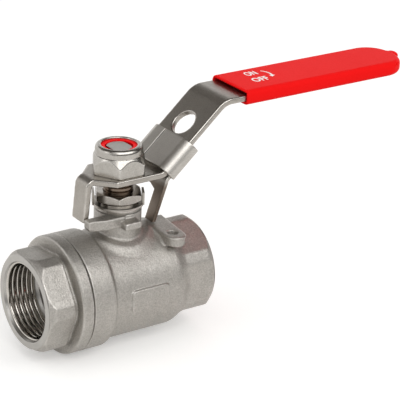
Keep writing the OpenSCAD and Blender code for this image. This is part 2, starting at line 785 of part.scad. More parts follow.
module handle_nut() {
    r_corner = nut_af / 2 / cos(30);
    bulge = (collar_r + collar_top_r) / 2 + 0.35;
    color(bright_steel) at_ball() translate([0, 0, plate_top]) difference() {
        union() {
            intersection() {
                rotate(nut_turn) linear_extrude(nut_hex_h) hexagon(nut_af);
                rotate_extrude() polygon([
                    [0, 0], [nut_af / 2, 0], [r_corner + 0.1, 0.7], [r_corner + 0.1, nut_hex_h - 2.4],
                    [collar_r, nut_hex_h], [0, nut_hex_h]]);
            }
            rotate_extrude() polygon([
                [0, nut_hex_h - hair], [collar_r, nut_hex_h - hair], [collar_r, nut_hex_h + 0.7],
                [bulge, nut_h - 0.75], [collar_top_r, nut_h - 0.12], [collar_top_r - 0.35, nut_h], [0, nut_h]]);
        }
        translate([0, 0, -1]) cylinder(r = bore_r, h = nut_h + 2);
        translate([0, 0, nut_h - insert_drop - insert_h]) cylinder(r = insert_r + insert_clear, h = nut_h);
    }
}

module nut_insert() {
    color(red_nylon) at_ball() translate([0, 0, insert_top - insert_h]) difference() {
        ring(insert_r, stem_r - insert_lip, insert_h);
        translate([0, 0, -1]) cylinder(r = bore_r, h = insert_h + 1 - insert_drop);
    }
}

module grip() {
    mid = crest_top - lever_t / 2 + grip_play / 2;
    pocket_h = lever_t + grip_play + 2 * grip_clear;
    length = grip_end - grip_x;
    half = grip_w / 2;
    color(red_vinyl) at_ball() difference() {
        intersection() {
            translate([0, 0, mid]) along_x(grip_x) linear_extrude(length)
                rounded_rect(grip_t, grip_w, grip_edge_r);
            translate([0, 0, mid - grip_t]) linear_extrude(2 * grip_t) {
                translate([grip_x, -half]) square([length - grip_tip_r, grip_w]);
                translate([grip_x, -half + grip_tip_r]) square([length, grip_w - 2 * grip_tip_r]);
                for (y = [-1, 1]) translate([grip_end - grip_tip_r, y * (half - grip_tip_r)])
                    circle(r = grip_tip_r);
            }
        }
        translate([grip_x - 1, -lever_w / 2 - grip_clear, mid - pocket_h / 2])
            cube([lever_end - grip_x + 1 + grip_clear, lever_w + 2 * grip_clear, pocket_h]);
    }
}

// Sleeve of the latch in the incline's frame, with the seam on its top
module latch_sleeve() {
    h = slide_top - slide_bottom;
    mid = (slide_top + slide_bottom) / 2;
    translate([latch_u, 0, mid]) difference() {
        along_x(0) linear_extrude(latch_len) rounded_rect(h, 2 * slide_half, latch_corner);
        along_x(-1) linear_extrude(latch_len + 2)
            rounded_rect(h - 2 * latch_t, 2 * (slide_half - latch_t), latch_bend);
        translate([-1, latch_seam_y - latch_seam / 2, 0]) cube([latch_len + 2, latch_seam, h]);
    }
}

// Side view of the sheet that runs on from the sleeve's underside and turns
// down to make the tongue
module tongue_side() {
    down = incline_angle + 180;
    base = [incline_x, plate_top] + unit(incline_angle + 90) * tongue_n;
    start = base + unit(incline_angle) * (latch_u + 1);
    knee = base - unit(incline_angle) * tongue_knee;
    end = [knee[0], tongue_foot];
    half = latch_t / 2;
    left = concat([start + unit(down + 90) * half], bend_side(knee, down, 270, tongue_bend, half),
                  [end + unit(0) * half]);
    right = concat([start - unit(down + 90) * half], bend_side(knee, down, 270, tongue_bend, -half),
                   [end - unit(0) * half]);
    polygon(concat(left, [for (i = [len(right) - 1:-1:0]) right[i]]));
}

// Front view of the tongue: it leans from the sleeve's near edge to the middle
module tongue_front() {
    half = tongue_w / 2;
    root = tongue_root - tongue_foot;
    top = plate_top + 4;
    edge = half + (slide_half - latch_corner - half);
    polygon([[-half, tongue_foot - 1], [half, tongue_foot - 1], [half, tongue_foot],
             [half - root * tongue_slope, tongue_root],
             [half - root * tongue_slope + 2.4, tongue_root + 1.5], [edge, tongue_root + 1.5],
             [edge, top], [-edge, top], [-edge, tongue_foot + (edge - half) / tongue_slope],
             [-half, tongue_foot]]);
}

module latch() {
    color(steel) at_ball() {
        on_incline() latch_sleeve();
        intersection() {
            rotate([90, 0, 0]) translate([0, 0, -slide_half]) linear_extrude(2 * slide_half) tongue_side();
            rotate([90, 0, 90]) linear_extrude(2 * incline_x + 10) tongue_front();
        }
    }
}

body();
end_cap();
ball();
seat_ring_inlet();
seat_ring_outlet();
body_gasket();
stem();
stem_o_ring();
thrust_washer();
packing_ring_lower();
packing_ring_middle();
packing_ring_upper();
gland_ring();
spring_washer_lower();
tab_washer();
spring_washer_upper();
packing_nut();
lever();
handle_nut();
nut_insert();
grip();
latch();
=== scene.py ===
"""Looks of a two-piece 3/4 inch ball valve with a padlockable lever.

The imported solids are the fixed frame. The castings, the bent sheets, the nuts
and the grip are rebuilt here as distance fields, which gives them their cast
fillets, rolled edges and soft corners, and Geometry Nodes wind the threads.
Sizes in the classes are millimetres about the ball's centre; objects are in
metres in the part's own frame.
"""

import logging
import math
from dataclasses import dataclass, field
from enum import Enum

import bpy
import numpy as np
import openvdb
from mathutils import Matrix, Vector


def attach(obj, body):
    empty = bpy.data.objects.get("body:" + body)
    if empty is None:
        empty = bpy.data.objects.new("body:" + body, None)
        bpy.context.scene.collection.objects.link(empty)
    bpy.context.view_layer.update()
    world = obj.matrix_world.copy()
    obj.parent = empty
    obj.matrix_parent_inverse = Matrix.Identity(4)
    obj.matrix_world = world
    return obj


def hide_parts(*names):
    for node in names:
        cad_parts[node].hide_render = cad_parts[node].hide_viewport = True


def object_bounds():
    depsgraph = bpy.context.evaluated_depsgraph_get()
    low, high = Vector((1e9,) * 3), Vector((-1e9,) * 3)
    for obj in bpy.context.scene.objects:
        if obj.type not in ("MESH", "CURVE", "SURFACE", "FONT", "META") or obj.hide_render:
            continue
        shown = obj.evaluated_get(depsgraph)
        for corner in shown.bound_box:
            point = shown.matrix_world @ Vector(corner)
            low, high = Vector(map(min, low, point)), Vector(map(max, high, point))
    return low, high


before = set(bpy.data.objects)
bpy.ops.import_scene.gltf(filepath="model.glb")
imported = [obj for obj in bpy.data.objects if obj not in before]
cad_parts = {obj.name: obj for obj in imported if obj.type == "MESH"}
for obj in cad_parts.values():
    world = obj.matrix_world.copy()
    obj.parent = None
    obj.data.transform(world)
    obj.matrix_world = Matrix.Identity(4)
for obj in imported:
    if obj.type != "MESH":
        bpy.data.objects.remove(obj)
CAD_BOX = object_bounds()

log = logging.getLogger("ball_valve")

MM = 0.001
INLET_LENGTH = 36.0  # mm from the inlet face to the ball's centre
STEM_HOLE_R = 5.06  # mm, every hole that the stem passes through

Array = np.ndarray
Pair = tuple[float, float]
Point = tuple[float, float, float]
Piece, Material = bpy.types.Object, bpy.types.Material
Tree, Socket = bpy.types.NodeTree, bpy.types.NodeSocket


class Body(Enum):
    """CAD bodies that the pieces ride on."""

    VALVE = "valve_body"
    LEVER = "lever_set"
    LATCH = "latch_slide"


class Slot(Enum):
    """The record's material slots, passed along with the rebuilt pieces."""

    CAST = "cast_stainless"
    MACHINED = "machined_stainless"
    PRESSED = "pressed_stainless"
    BRIGHT = "bright_stainless"
    VINYL = "red_vinyl"


# ---- Shader helpers -------------------------------------------------------


def linear(hex_colour: str) -> tuple[float, float, float, float]:
    """Turns an sRGB hex colour to linear RGBA.

    Args:
        hex_colour: six hex digits, with or without a leading #.

    Returns:
        The linear colour with an alpha of 1.
    """
    digits = hex_colour.lstrip("#")
    levels = [int(digits[i:i + 2], 16) / 255 for i in (0, 2, 4)]
    return tuple(c / 12.92 if c <= 0.04045 else ((c + 0.055) / 1.055) ** 2.4 for c in levels) + (1.0,)


def add_node(tree: Tree, kind: str, settings: dict | None = None,
             inputs: dict | None = None) -> bpy.types.Node:
    """Adds a node with its settings, values and links.

    Args:
        tree: the node tree that takes the node.
        kind: the node's type name.
        settings: attributes of the node.
        inputs: socket names or numbers, each with a value or the socket that feeds it.

    Returns:
        The new node.
    """
    node = tree.nodes.new(kind)
    for name, value in (settings or {}).items():
        setattr(node, name, value)
    for key, value in (inputs or {}).items():
        if isinstance(value, Socket):
            tree.links.new(value, node.inputs[key])
        else:
            node.inputs[key].default_value = value
    return node


def empty_tree(owner: Material | bpy.types.World) -> Tree:
    """Gives a material or a world an empty node tree.

    Args:
        owner: the material or the world.

    Returns:
        Its tree.
    """
    owner.use_nodes = True
    owner.node_tree.nodes.clear()
    return owner.node_tree


GRAIN_SHARE = 0.9  # how much the grain counts beside the clouds
TONE_SPAN = (0.66, 1.24)  # level of the mixed noise at the dark and at the light tone
WEAR_AND_GLINT_SPAN = (0.35, 0.65)  # cloud levels between which edges are painted brighter little or much, as wear and as a painted highlight
WEAR_AND_GLINT_SHARE = (0.15, 0.75)
WEAR_AND_GLINT_GLOSS = 0.75  # roughness of a worn edge with its painted highlight, as a share of the smoothest
# Painted shade under the lever: its brown colour, its strength and the height over which it fades
LEVER_SHADE_BROWN = "#7C6C5E"
LEVER_SHADE_SHARE = 0.85
LEVER_SHADE_FADE_MM = 3.0
SAWN = "#D6D4D0"
SAWN_ROUGHNESS = 0.45


@dataclass(frozen=True)
class Finish:
    """A finish: its colours, its gloss and the grain that its making leaves.

    Grain sizes are the real widths in millimetres, and depths are the real
    heights. Stretch gives the grain a direction, as brushing does.
    """

    name: str
    light: str
    dark: str
    metallic: float
    roughness: Pair
    grain_mm: float
    grain_depth_mm: float
    cloud_mm: float = 9.0
    cloud_share: float = 0.45
    stretch: Point = (1.0, 1.0, 1.0)
    tilt: Point = (0.0, 0.0, 0.0)
    wave_mm: float = 0.0
    wave_depth_mm: float = 0.0
    edge: str = ""
    end_above_mm: float = 0.0
    # level in mm below which the finish gets a brown painted shade, 0 for none
    painted_shade_below_mm: float = 0.0
    extra: dict = field(default_factory=dict)

    def build(self) -> Material:
        """Builds the material.

        Returns:
            The node material.
        """
        material = bpy.data.materials.new(self.name)
        tree = empty_tree(material)
        place = add_node(tree, "ShaderNodeTexCoord").outputs["Object"]
        grain_place = add_node(tree, "ShaderNodeMapping", {}, {
            "Vector": place, "Rotation": self.tilt, "Scale": self.stretch}).outputs["Vector"]
        cloud = add_node(tree, "ShaderNodeTexNoise", {}, {
            "Vector": place, "Scale": 1 / (self.cloud_mm * MM), "Detail": 3.0,
            "Roughness": 0.55}).outputs["Fac"]
        grain = add_node(tree, "ShaderNodeTexNoise", {}, {
            "Vector": grain_place, "Scale": 1 / (2 * self.grain_mm * MM), "Detail": 2.5,
            "Roughness": 0.6}).outputs["Fac"]
        evened = add_node(tree, "ShaderNodeMath", {"operation": "MULTIPLY_ADD"}, {
            0: cloud, 1: self.cloud_share, 2: (1 - self.cloud_share) / 2}).outputs[0]
        mixed = add_node(tree, "ShaderNodeMath", {"operation": "MULTIPLY_ADD"}, {
            0: grain, 1: GRAIN_SHARE, 2: evened}).outputs[0]
        smoothest, roughest = self.roughness
        tone, rough = (add_node(tree, "ShaderNodeMapRange", {}, {
            "Value": mixed, "From Min": TONE_SPAN[0], "From Max": TONE_SPAN[1],
            "To Min": low, "To Max": high}).outputs["Result"]
            for low, high in ((0.0, 1.0), (roughest, smoothest)))
        colour = add_node(tree, "ShaderNodeMix", {"data_type": "RGBA"}, {
            0: tone, 6: linear(self.dark), 7: linear(self.light)}).outputs[2]
        height = add_node(tree, "ShaderNodeSeparateXYZ", {}, {"Vector": place}).outputs["Z"]
        layers = []
        if self.edge:
            # Convex corners painted brighter and smoother: partly rubbed by tumbling and handling, partly a
            # painted highlight on the edges
            rim = add_node(tree, "ShaderNodeAttribute", {"attribute_name": "rim"}).outputs["Fac"]
            patchy = add_node(tree, "ShaderNodeMapRange", {}, {
                "Value": cloud, "From Min": WEAR_AND_GLINT_SPAN[0], "From Max": WEAR_AND_GLINT_SPAN[1],
                "To Min": WEAR_AND_GLINT_SHARE[0], "To Max": WEAR_AND_GLINT_SHARE[1]}).outputs["Result"]
            wear_and_glint = add_node(tree, "ShaderNodeMath", {"operation": "MULTIPLY"}, {0: rim, 1: patchy}).outputs[0]
            layers.append((wear_and_glint, self.edge, smoothest * WEAR_AND_GLINT_GLOSS))
        if self.painted_shade_below_mm:
            # Painted shade under the lever: a brown darkening below a level
            level = self.painted_shade_below_mm * MM
            film = add_node(tree, "ShaderNodeMapRange", {}, {
                "Value": height, "From Min": level - LEVER_SHADE_FADE_MM * MM, "From Max": level,
                "To Min": LEVER_SHADE_SHARE, "To Max": 0.0}).outputs["Result"]
            layers.append((film, LEVER_SHADE_BROWN, None))
        if self.end_above_mm:
            # The sawn end of a bar: light and matt above a level
            end = add_node(tree, "ShaderNodeMath", {"operation": "GREATER_THAN"}, {
                0: height, 1: self.end_above_mm * MM}).outputs[0]
            layers.append((end, SAWN, SAWN_ROUGHNESS))
        for mask, tint, gloss in layers:
            colour = add_node(tree, "ShaderNodeMix", {"data_type": "RGBA"}, {
                0: mask, 6: colour, 7: linear(tint)}).outputs[2]
            if gloss:
                rough = add_node(tree, "ShaderNodeMix", {"data_type": "FLOAT"}, {
                    0: mask, 2: rough, 3: gloss}).outputs[0]
        normal = add_node(tree, "ShaderNodeBump", {}, {
            "Strength": 1.0, "Distance": self.grain_depth_mm * MM, "Height": grain}).outputs["Normal"]
        if self.wave_mm:
            wave = add_node(tree, "ShaderNodeTexNoise", {}, {
                "Vector": place, "Scale": 1 / (2 * self.wave_mm * MM), "Detail": 1.5,
                "Roughness": 0.5}).outputs["Fac"]
            normal = add_node(tree, "ShaderNodeBump", {}, {
                "Strength": 1.0, "Distance": self.wave_depth_mm * MM, "Height": wave,
                "Normal": normal}).outputs["Normal"]
        shader = add_node(tree, "ShaderNodeBsdfPrincipled", {}, {
            "Base Color": colour, "Metallic": self.metallic, "Roughness": rough,
            "Normal": normal, **self.extra})
        add_node(tree, "ShaderNodeOutputMaterial", {}, {"Surface": shader.outputs["BSDF"]})
        return material


# Investment-cast stainless, glass-bead blasted: a matt warm grey with a pitted sandy grain
CAST = Finish("investment_cast_stainless_blasted", "#CECAC4", "#A19D97", 1.0, (0.42, 0.56),
              0.26, 0.16, cloud_mm=6.0, cloud_share=0.3, wave_mm=1.2, wave_depth_mm=0.11, edge="#D2CEC8")
# The mouths, faced and countersunk on a lathe: smooth and light
TURNED = Finish("turned_stainless_face", "#C8C5C0", "#AEABA6", 1.0, (0.30, 0.40),
                0.10, 0.008, cloud_mm=5.0)
# Tapped thread: brighter than the casting, since the tap burnishes the crests
TAPPED = Finish("tapped_stainless_thread", "#DDD9D2", "#B2ABA2", 1.0, (0.07, 0.15),
                0.15, 0.010, cloud_mm=4.0)
# Stamped sheet, barrel-tumbled after bending: satin with a fine drawn grain along the sheet
SHEET = Finish("tumbled_stainless_sheet", "#BFBAB3", "#979189", 1.0, (0.26, 0.38),
               0.12, 0.012, cloud_mm=8.0, stretch=(0.12, 1.0, 1.0), edge="#DAD6D0")
# The same sheet folded to the slide: painted lighter than the lever's sheet to stand in for the light on it,
# and duller, its grain running up the incline, with a brown painted shade under the lever
SLIDE = Finish("folded_stainless_slide", "#D6D2CC", "#B9B5AE", 1.0, (0.36, 0.46),
               0.12, 0.012, cloud_mm=8.0, stretch=(0.15, 1.0, 1.0), tilt=(0.0, 0.72, 0.0), edge="#E2DED8",
               painted_shade_below_mm=37.0)
# Cold-formed locknut: matt washed flats, with a rolled and polished collar
NUT = Finish("cold_formed_stainless_nut", "#C9C5BF", "#A39F98", 1.0, (0.20, 0.32),
             0.14, 0.010, cloud_mm=3.0, edge="#E2DFDA")
# Turned packing nut and gland, machined all over
BAR = Finish("machined_stainless_bar", "#C4BFB8", "#8E8983", 1.0, (0.16, 0.28),
             0.10, 0.008, cloud_mm=3.0, edge="#DEDAD4")
# Stem turned from bar: darker, with a brown painted shade on its shaft under the lever and a light sawn end
STEM = Finish("turned_stainless_stem", "#ADA79F", "#77716A", 1.0, (0.18, 0.30),
              0.10, 0.010, cloud_mm=3.0, stretch=(1.0, 1.0, 6.0), end_above_mm=48.2,
              painted_shade_below_mm=39.0)
# Rolled spring strip, thin and bright
SPRING = Finish("rolled_spring_strip", "#CFCBC5", "#A7A39D", 1.0, (0.14, 0.24),
                0.10, 0.006, cloud_mm=3.0)
# Ground and polished ball
BALL = Finish("polished_stainless_ball", "#DCD9D5", "#CFCBC6", 1.0, (0.06, 0.11),
              0.30, 0.002, cloud_mm=8.0)
# Moulded and skived PTFE: a waxy off-white
PTFE = Finish("skived_ptfe", "#F1EFE8", "#E3E0D6", 0.0, (0.34, 0.46),
              0.25, 0.010, cloud_mm=4.0, extra={"IOR": 1.35, "Subsurface Weight": 0.15,
                                               "Subsurface Radius": (0.001, 0.001, 0.001)})
# Moulded fluoro-rubber, near black with a brown cast
RUBBER = Finish("moulded_fluoro_rubber", "#2E2926", "#1E1A18", 0.0, (0.45, 0.60),
                0.12, 0.010, extra={"IOR": 1.45})
# Moulded nylon ring, a flat bright red
NYLON = Finish("moulded_red_nylon", "#FA1418", "#E60C12", 0.0, (0.34, 0.46),
               0.15, 0.012, cloud_mm=2.0, extra={"IOR": 1.53, "Specular IOR Level": 0.06})
# Dip-moulded PVC plastisol: smooth, with a low sheen and the faint swell of a dipped skin
VINYL = Finish("dip_moulded_red_vinyl", "#EC1818", "#E61414", 0.0, (0.32, 0.38),
               0.40, 0.003, cloud_mm=18.0, wave_mm=6.0, wave_depth_mm=0.03,
               extra={"IOR": 1.5, "Specular IOR Level": 0.02})
# Pad-printed white ink, a thin matt film
INK = Finish("pad_printed_white_ink", "#FBFAF7", "#EFEDE8", 0.0, (0.40, 0.52),
             0.20, 0.006, cloud_mm=3.0, extra={"IOR": 1.5})


# ---- Mesh helpers ---------------------------------------------------------


def link(thing: Piece) -> Piece:
    """Links an object to the scene."""
    bpy.context.scene.collection.objects.link(thing)
    return thing


def to_part(points: Array) -> Array:
    """Carries millimetres about the ball's centre to metres in the part's frame."""
    return (np.asarray(points, float) + [INLET_LENGTH, 0.0, 0.0]) * MM


def new_piece(name: str, points: Array, faces: list | Array, material: Material,
              smooth: bool = True) -> Piece:
    """Makes a piece from points in millimetres about the ball's centre.

    Args:
        name: the piece's name.
        points: one row for each vertex.
        faces: vertex numbers of each face, turned outwards.
        material: the finish.
        smooth: whether its faces shade smooth.

    Returns:
        The new object, in the scene.
    """
    mesh = bpy.data.meshes.new(name)
    mesh.from_pydata(to_part(points).tolist(), [], faces if isinstance(faces, list) else faces.tolist())
    mesh.materials.append(material)
    mesh.polygons.foreach_set("use_smooth", [smooth] * len(mesh.polygons))
    mesh.validate()
    return link(bpy.data.objects.new(name, mesh))


def hand_over(piece: Piece, body: Body, slot: Slot, *nodes: str) -> None:
    """Lets a piece ride its body and stand for CAD nodes.

    Args:
        piece: the finished piece.
        body: the body that it moves with.
        slot: the record's slot of its finish; not used.
        nodes: the CAD nodes that it replaces.
    """
    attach(piece, body.value)
    if nodes:
        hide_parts(*nodes)
    log.info("%s: %d faces on %s", piece.name, len(piece.data.polygons), body.value)


def lathe(profile: list[Pair], segments: int = 192) -> tuple[Array, list]:
    """Turns a closed outline about the pipe's axis.

    Args:
        profile: points (x, r) of a closed outline, counted so that the metal is on the left
            of the heading when x runs right and r runs up.
        segments: faces around.

    Returns:
        Points and faces.
    """
    turns = np.linspace(0, 2 * math.pi, segments, endpoint=False)
    xs, rs = np.array(profile).T
    points = np.stack([np.broadcast_to(xs, (segments, len(xs))),
                       np.cos(turns)[:, None] * rs, np.sin(turns)[:, None] * rs], -1).reshape(-1, 3)
    n = len(profile)
    corners = [(s * n, (s + 1) % segments * n, i, (i + 1) % n) for s in range(segments) for i in range(n)]
    return points, [(here + i, here + j, there + j, there + i) for here, there, i, j in corners]


# ---- Distance fields ------------------------------------------------------


def box2(u: Array, v: Array, half_u: float, half_v: float, r: float = 0.0) -> Array:
    """Distance to a rectangle with rounded corners, centred on (0, 0)."""
    a, b = np.abs(u) - half_u + r, np.abs(v) - half_v + r
    return np.hypot(np.maximum(a, 0), np.maximum(b, 0)) + np.minimum(np.maximum(a, b), 0) - r


def both(a: Array, b: Array, r: float = 0.0) -> Array:
    """Where both shapes are, with edges rounded to radius r.

    Args:
        a: one distance field.
        b: the other.
        r: the radius.

    Returns:
        The distance field.
    """
    if r <= 0:
        return np.maximum(a, b)
    return np.minimum(-r, np.maximum(a, b)) + np.hypot(np.maximum(a + r, 0), np.maximum(b + r, 0))


def join(a: Array, b: Array, r: float = 0.0) -> Array:
    """Where either shape is, with a fillet of radius r between them."""
    return -both(-a, -b, r)


def cut(a: Array, b: Array, r: float = 0.0) -> Array:
    """The first shape without the second, with edges rounded to radius r."""
    return both(a, -b, r)


def slab(v: Array, low: float, high: float) -> Array:
    """Distance to the layer between two levels."""
    return np.maximum(low - v, v - high)


def prism(outline: Array, along: Array, low: float, high: float, r: float) -> Array:
    """A shape with the given outline between two levels, its rims rounded to r."""
    return both(outline, slab(along, low, high), r)


def polygon(u: Array, v: Array, corners: list[Pair]) -> Array:
    """Exact distance to a polygon.

    Args:
        u: first coordinate.
        v: second coordinate.
        corners: the polygon's corners, in either order.

    Returns:
        The signed distance, negative inside.
    """
    best = np.full(np.broadcast(u, v).shape, 1e9)
    inside = np.ones(best.shape, bool)
    for (ax, ay), (bx, by) in zip(corners, corners[-1:] + corners[:-1]):
        ex, ey = bx - ax, by - ay
        wx, wy = u - ax, v - ay
        t = np.clip((wx * ex + wy * ey) / (ex * ex + ey * ey), 0, 1)
        best = np.minimum(best, (wx - ex * t) ** 2 + (wy - ey * t) ** 2)
        above, below = v >= ay, v < by
        left = ex * wy > ey * wx
        inside ^= (above & below & left) | (~above & ~below & ~left)
    return np.where(inside, 1, -1) * np.sqrt(best)


def hexagon(u: Array, v: Array, flat: float, corner: float, turn: float, r: float) -> Array:
    """Hexagon with blunt corners.

    Args:
        u: first coordinate.
        v: second coordinate.
        flat: distance from the middle to the flats.
        corner: distance from the middle to the blunt corners.
        turn: angle of one corner, in degrees.
        r: rounding between flats and corners.

    Returns:
        The distance field.
    """
    d = None
    for i in range(12):
        a = math.radians(turn + 30 * i)
        side = u * math.cos(a) + v * math.sin(a) - (flat if i % 2 else corner)
        d = side if d is None else both(d, side, r)
    return d


def cone(r: Array, level: Array, r_start: float, slope: float) -> Array:
    """Distance to a cone whose radius grows from r_start with the level."""
    return (r - r_start - slope * level) / math.hypot(1, slope)


def arc_points(corner: Pair, a_in: float, a_out: float, r: float, count: int, off: float) -> list[Pair]:
    """Points of the arc that rounds a corner between two headings.

    Args:
        corner: where the two lines cross.
        a_in: heading before it, in degrees.
        a_out: heading after it.
        r: bend radius on the middle line.
        count: steps along the arc.
        off: distance to the left of the heading.

    Returns:
        The points.
    """
    s = math.copysign(1, a_out - a_in)
    a = math.radians(a_in)
    t = r * math.tan(math.radians(abs(a_out - a_in)) / 2)
    cx = corner[0] - math.cos(a) * t - s * math.sin(a) * r
    cy = corner[1] - math.sin(a) * t + s * math.cos(a) * r
    turns = [math.radians(a_in + (a_out - a_in) * i / count + 90 * s) for i in range(count + 1)]
    return [(cx - math.cos(b) * (r - s * off), cy - math.sin(b) * (r - s * off)) for b in turns]


def bent_sheet(u: Array, v: Array, half: float, start: Pair, bends: list[tuple], stop: Pair) -> Array:
    """Side view of a bent sheet.

    Args:
        u: first coordinate.
        v: second coordinate.
        half: half of its thickness.
        start: where its middle line starts.
        bends: each bend as arc_points takes it, up to the count of steps.
        stop: where its middle line ends.

    Returns:
        The distance field.
    """
    first, last = math.radians(bends[0][1]), math.radians(bends[-1][2])
    sides = []
    for off in (half, -half):
        side = [(start[0] - math.sin(first) * off, start[1] + math.cos(first) * off)]
        for bend in bends:
            side += arc_points(*bend, off)
        side.append((stop[0] - math.sin(last) * off, stop[1] + math.cos(last) * off))
        sides.append(side)
    return polygon(u, v, sides[0] + sides[1][::-1])


@dataclass
class Field:
    """A block of space that a piece is carved from, on an even grid.

    The coordinates x, y and z are millimetres about the ball's centre.
    """

    low: Point
    high: Point
    step: float

    def __post_init__(self) -> None:
        """Lays out the grid."""
        counts = [int(math.ceil((b - a) / self.step)) + 1 for a, b in zip(self.low, self.high)]
        self.x, self.y, self.z = (
            (a + self.step * np.arange(n)).astype(np.float32).reshape([-1 if k == i else 1 for k in range(3)])
            for i, (a, n) in enumerate(zip(self.low, counts)))
        self.shape = tuple(counts)

    def piece(self, name: str, distance: Array, material: Material,
              rim_mm: float = 0.0) -> Piece:
        """Meshes the surface of a distance field.

        Args:
            name: the piece's name.
            distance: the field, negative inside.
            material: the finish.
            rim_mm: where given, convex edges sharper than this radius get the attribute "rim".

        Returns:
            The new object.
        """
        distance = np.ascontiguousarray(np.broadcast_to(distance, self.shape), np.float32)
        grid = openvdb.FloatGrid(background=10.0)
        grid.copyFromArray(np.clip(distance, -9, 9))
        index_points, quads = grid.convertToQuads(isovalue=0.0)
        slope = np.stack(np.gradient(distance, self.step), -1)
        normals = self.sample(slope, index_points)
        points = np.array(self.low) + index_points * self.step
        a, b, c = (points[quads[:, i]] for i in (0, 1, 2))
        facing = np.einsum("ij,ij->i", np.cross(b - a, c - a), normals[quads[:, 0]])
        if np.median(facing) < 0:
            quads = quads[:, ::-1]
        piece = new_piece(name, points, quads, material)
        if rim_mm:
            bend = sum(np.gradient(slope[..., i], self.step, axis=i) for i in range(3))
            strength = np.clip((self.sample(bend[..., None], index_points)[:, 0] * rim_mm - 0.35) * 1.6, 0, 1)
            rim = piece.data.attributes.new("rim", "FLOAT", "POINT")
            if len(rim.data) == len(strength):
                rim.data.foreach_set("value", strength.astype(np.float32))
        return piece

    @staticmethod
    def sample(values: Array, at: Array) -> Array:
        """Reads grid values between grid points.

        Args:
            values: grid of rows.
            at: positions in grid steps.

        Returns:
            One row for each position.
        """
        top = np.array(values.shape[:3]) - 2
        base = np.clip(np.floor(at).astype(int), 0, top)
        part = np.clip(at - base, 0, 1)
        total = 0
        for corner in np.ndindex(2, 2, 2):
            weight = np.prod(np.where(corner, part, 1 - part), axis=1)
            total = total + weight[:, None] * values[tuple((base + corner).T)]
        return total


# ---- Geometry Nodes -------------------------------------------------------


@dataclass
class ThreadTree:
    """Geometry Nodes tree that winds a screw-thread ridge about Z."""

    name: str = "screw_thread_ridge"
    sizes: tuple[str, ...] = ("Turns", "Pitch", "Root Radius", "Root Width", "Crest Width", "Height",
                              "Run-out Turns")
    thinnest: float = 0.02

    def build(self) -> Tree:
        """Builds the tree.

        Returns:
            The tree, with named inputs in metres.
        """
        tree = bpy.data.node_groups.new(self.name, "GeometryNodeTree")
        sockets = tree.interface
        for name, kind in [(size, "Float") for size in self.sizes] + [
                ("Steps per Turn", "Int"), ("Finish", "Material")]:
            sockets.new_socket(name, in_out="INPUT", socket_type="NodeSocket" + kind)
        sockets.new_socket("Geometry", in_out="OUTPUT", socket_type="NodeSocketGeometry")
        given = add_node(tree, "NodeGroupInput").outputs
        rise = add_node(tree, "ShaderNodeMath", {"operation": "MULTIPLY"}, {
            0: given["Turns"], 1: given["Pitch"]}).outputs[0]
        spiral = add_node(tree, "GeometryNodeCurveSpiral", {}, {
            "Resolution": given["Steps per Turn"], "Rotations": given["Turns"],
            "Start Radius": given["Root Radius"], "End Radius": given["Root Radius"],
            "Height": rise}).outputs["Curve"]
        upright = add_node(tree, "GeometryNodeSetCurveNormal", {"mode": "Z_UP"}, {
            "Curve": spiral}).outputs["Curve"]
        # The ridge fades in and out over its run-out, as a tap leaves it
        along = add_node(tree, "GeometryNodeSplineParameter").outputs["Factor"]
        back = add_node(tree, "ShaderNodeMath", {"operation": "SUBTRACT"}, {0: 1.0, 1: along}).outputs[0]
        nearer = add_node(tree, "ShaderNodeMath", {"operation": "MINIMUM"}, {0: along, 1: back}).outputs[0]
        turns_in = add_node(tree, "ShaderNodeMath", {"operation": "MULTIPLY"}, {
            0: nearer, 1: given["Turns"]}).outputs[0]
        fade = add_node(tree, "ShaderNodeMapRange", {"interpolation_type": "SMOOTHSTEP"}, {
            "Value": turns_in, "From Min": 0.0, "From Max": given["Run-out Turns"],
            "To Min": self.thinnest, "To Max": 1.0}).outputs["Result"]
        outline = add_node(tree, "GeometryNodeCurvePrimitiveQuadrilateral", {"mode": "TRAPEZOID"}, {
            "Height": given["Height"], "Bottom Width": given["Root Width"],
            "Top Width": given["Crest Width"], "Offset": 0.0}).outputs["Curve"]
        half = add_node(tree, "ShaderNodeMath", {"operation": "MULTIPLY"}, {
            0: given["Height"], 1: 0.5}).outputs[0]
        lift = add_node(tree, "ShaderNodeCombineXYZ", {}, {"Y": half}).outputs["Vector"]
        seated = add_node(tree, "GeometryNodeTransform", {}, {
            "Geometry": outline, "Translation": lift}).outputs["Geometry"]
        ridge = add_node(tree, "GeometryNodeCurveToMesh", {}, {
            "Curve": upright, "Profile Curve": seated, "Scale": fade, "Fill Caps": True}).outputs["Mesh"]
        plain = add_node(tree, "GeometryNodeRealizeInstances", {}, {"Geometry": ridge}).outputs["Geometry"]
        dressed = add_node(tree, "GeometryNodeSetMaterial", {}, {
            "Geometry": plain, "Material": given["Finish"]}).outputs["Geometry"]
        add_node(tree, "NodeGroupOutput", {}, {"Geometry": dressed})
        return tree


def grow(name: str, tree: Tree, inputs: dict, place: Matrix) -> Piece:
    """Runs a Geometry Nodes tree and keeps its result as a plain mesh.

    Args:
        name: the piece's name.
        tree: the tree.
        inputs: values of its named inputs.
        place: carries the result to the part's frame, in metres.

    Returns:
        The new object, with no modifier left on it.
    """
    carrier = link(bpy.data.objects.new(name + "_carrier", bpy.data.meshes.new(name + "_carrier")))
    modifier = carrier.modifiers.new("tree", "NODES")
    modifier.node_group = tree
    for item in tree.interface.items_tree:
        if item.in_out == "INPUT" and item.name in inputs:
            modifier[item.identifier] = inputs[item.name]
    seen = carrier.evaluated_get(bpy.context.evaluated_depsgraph_get())
    mesh = bpy.data.meshes.new_from_object(seen)
    mesh.name = name
    mesh.transform(place)
    bpy.data.objects.remove(carrier)
    return link(bpy.data.objects.new(name, mesh))


# ---- Castings -------------------------------------------------------------


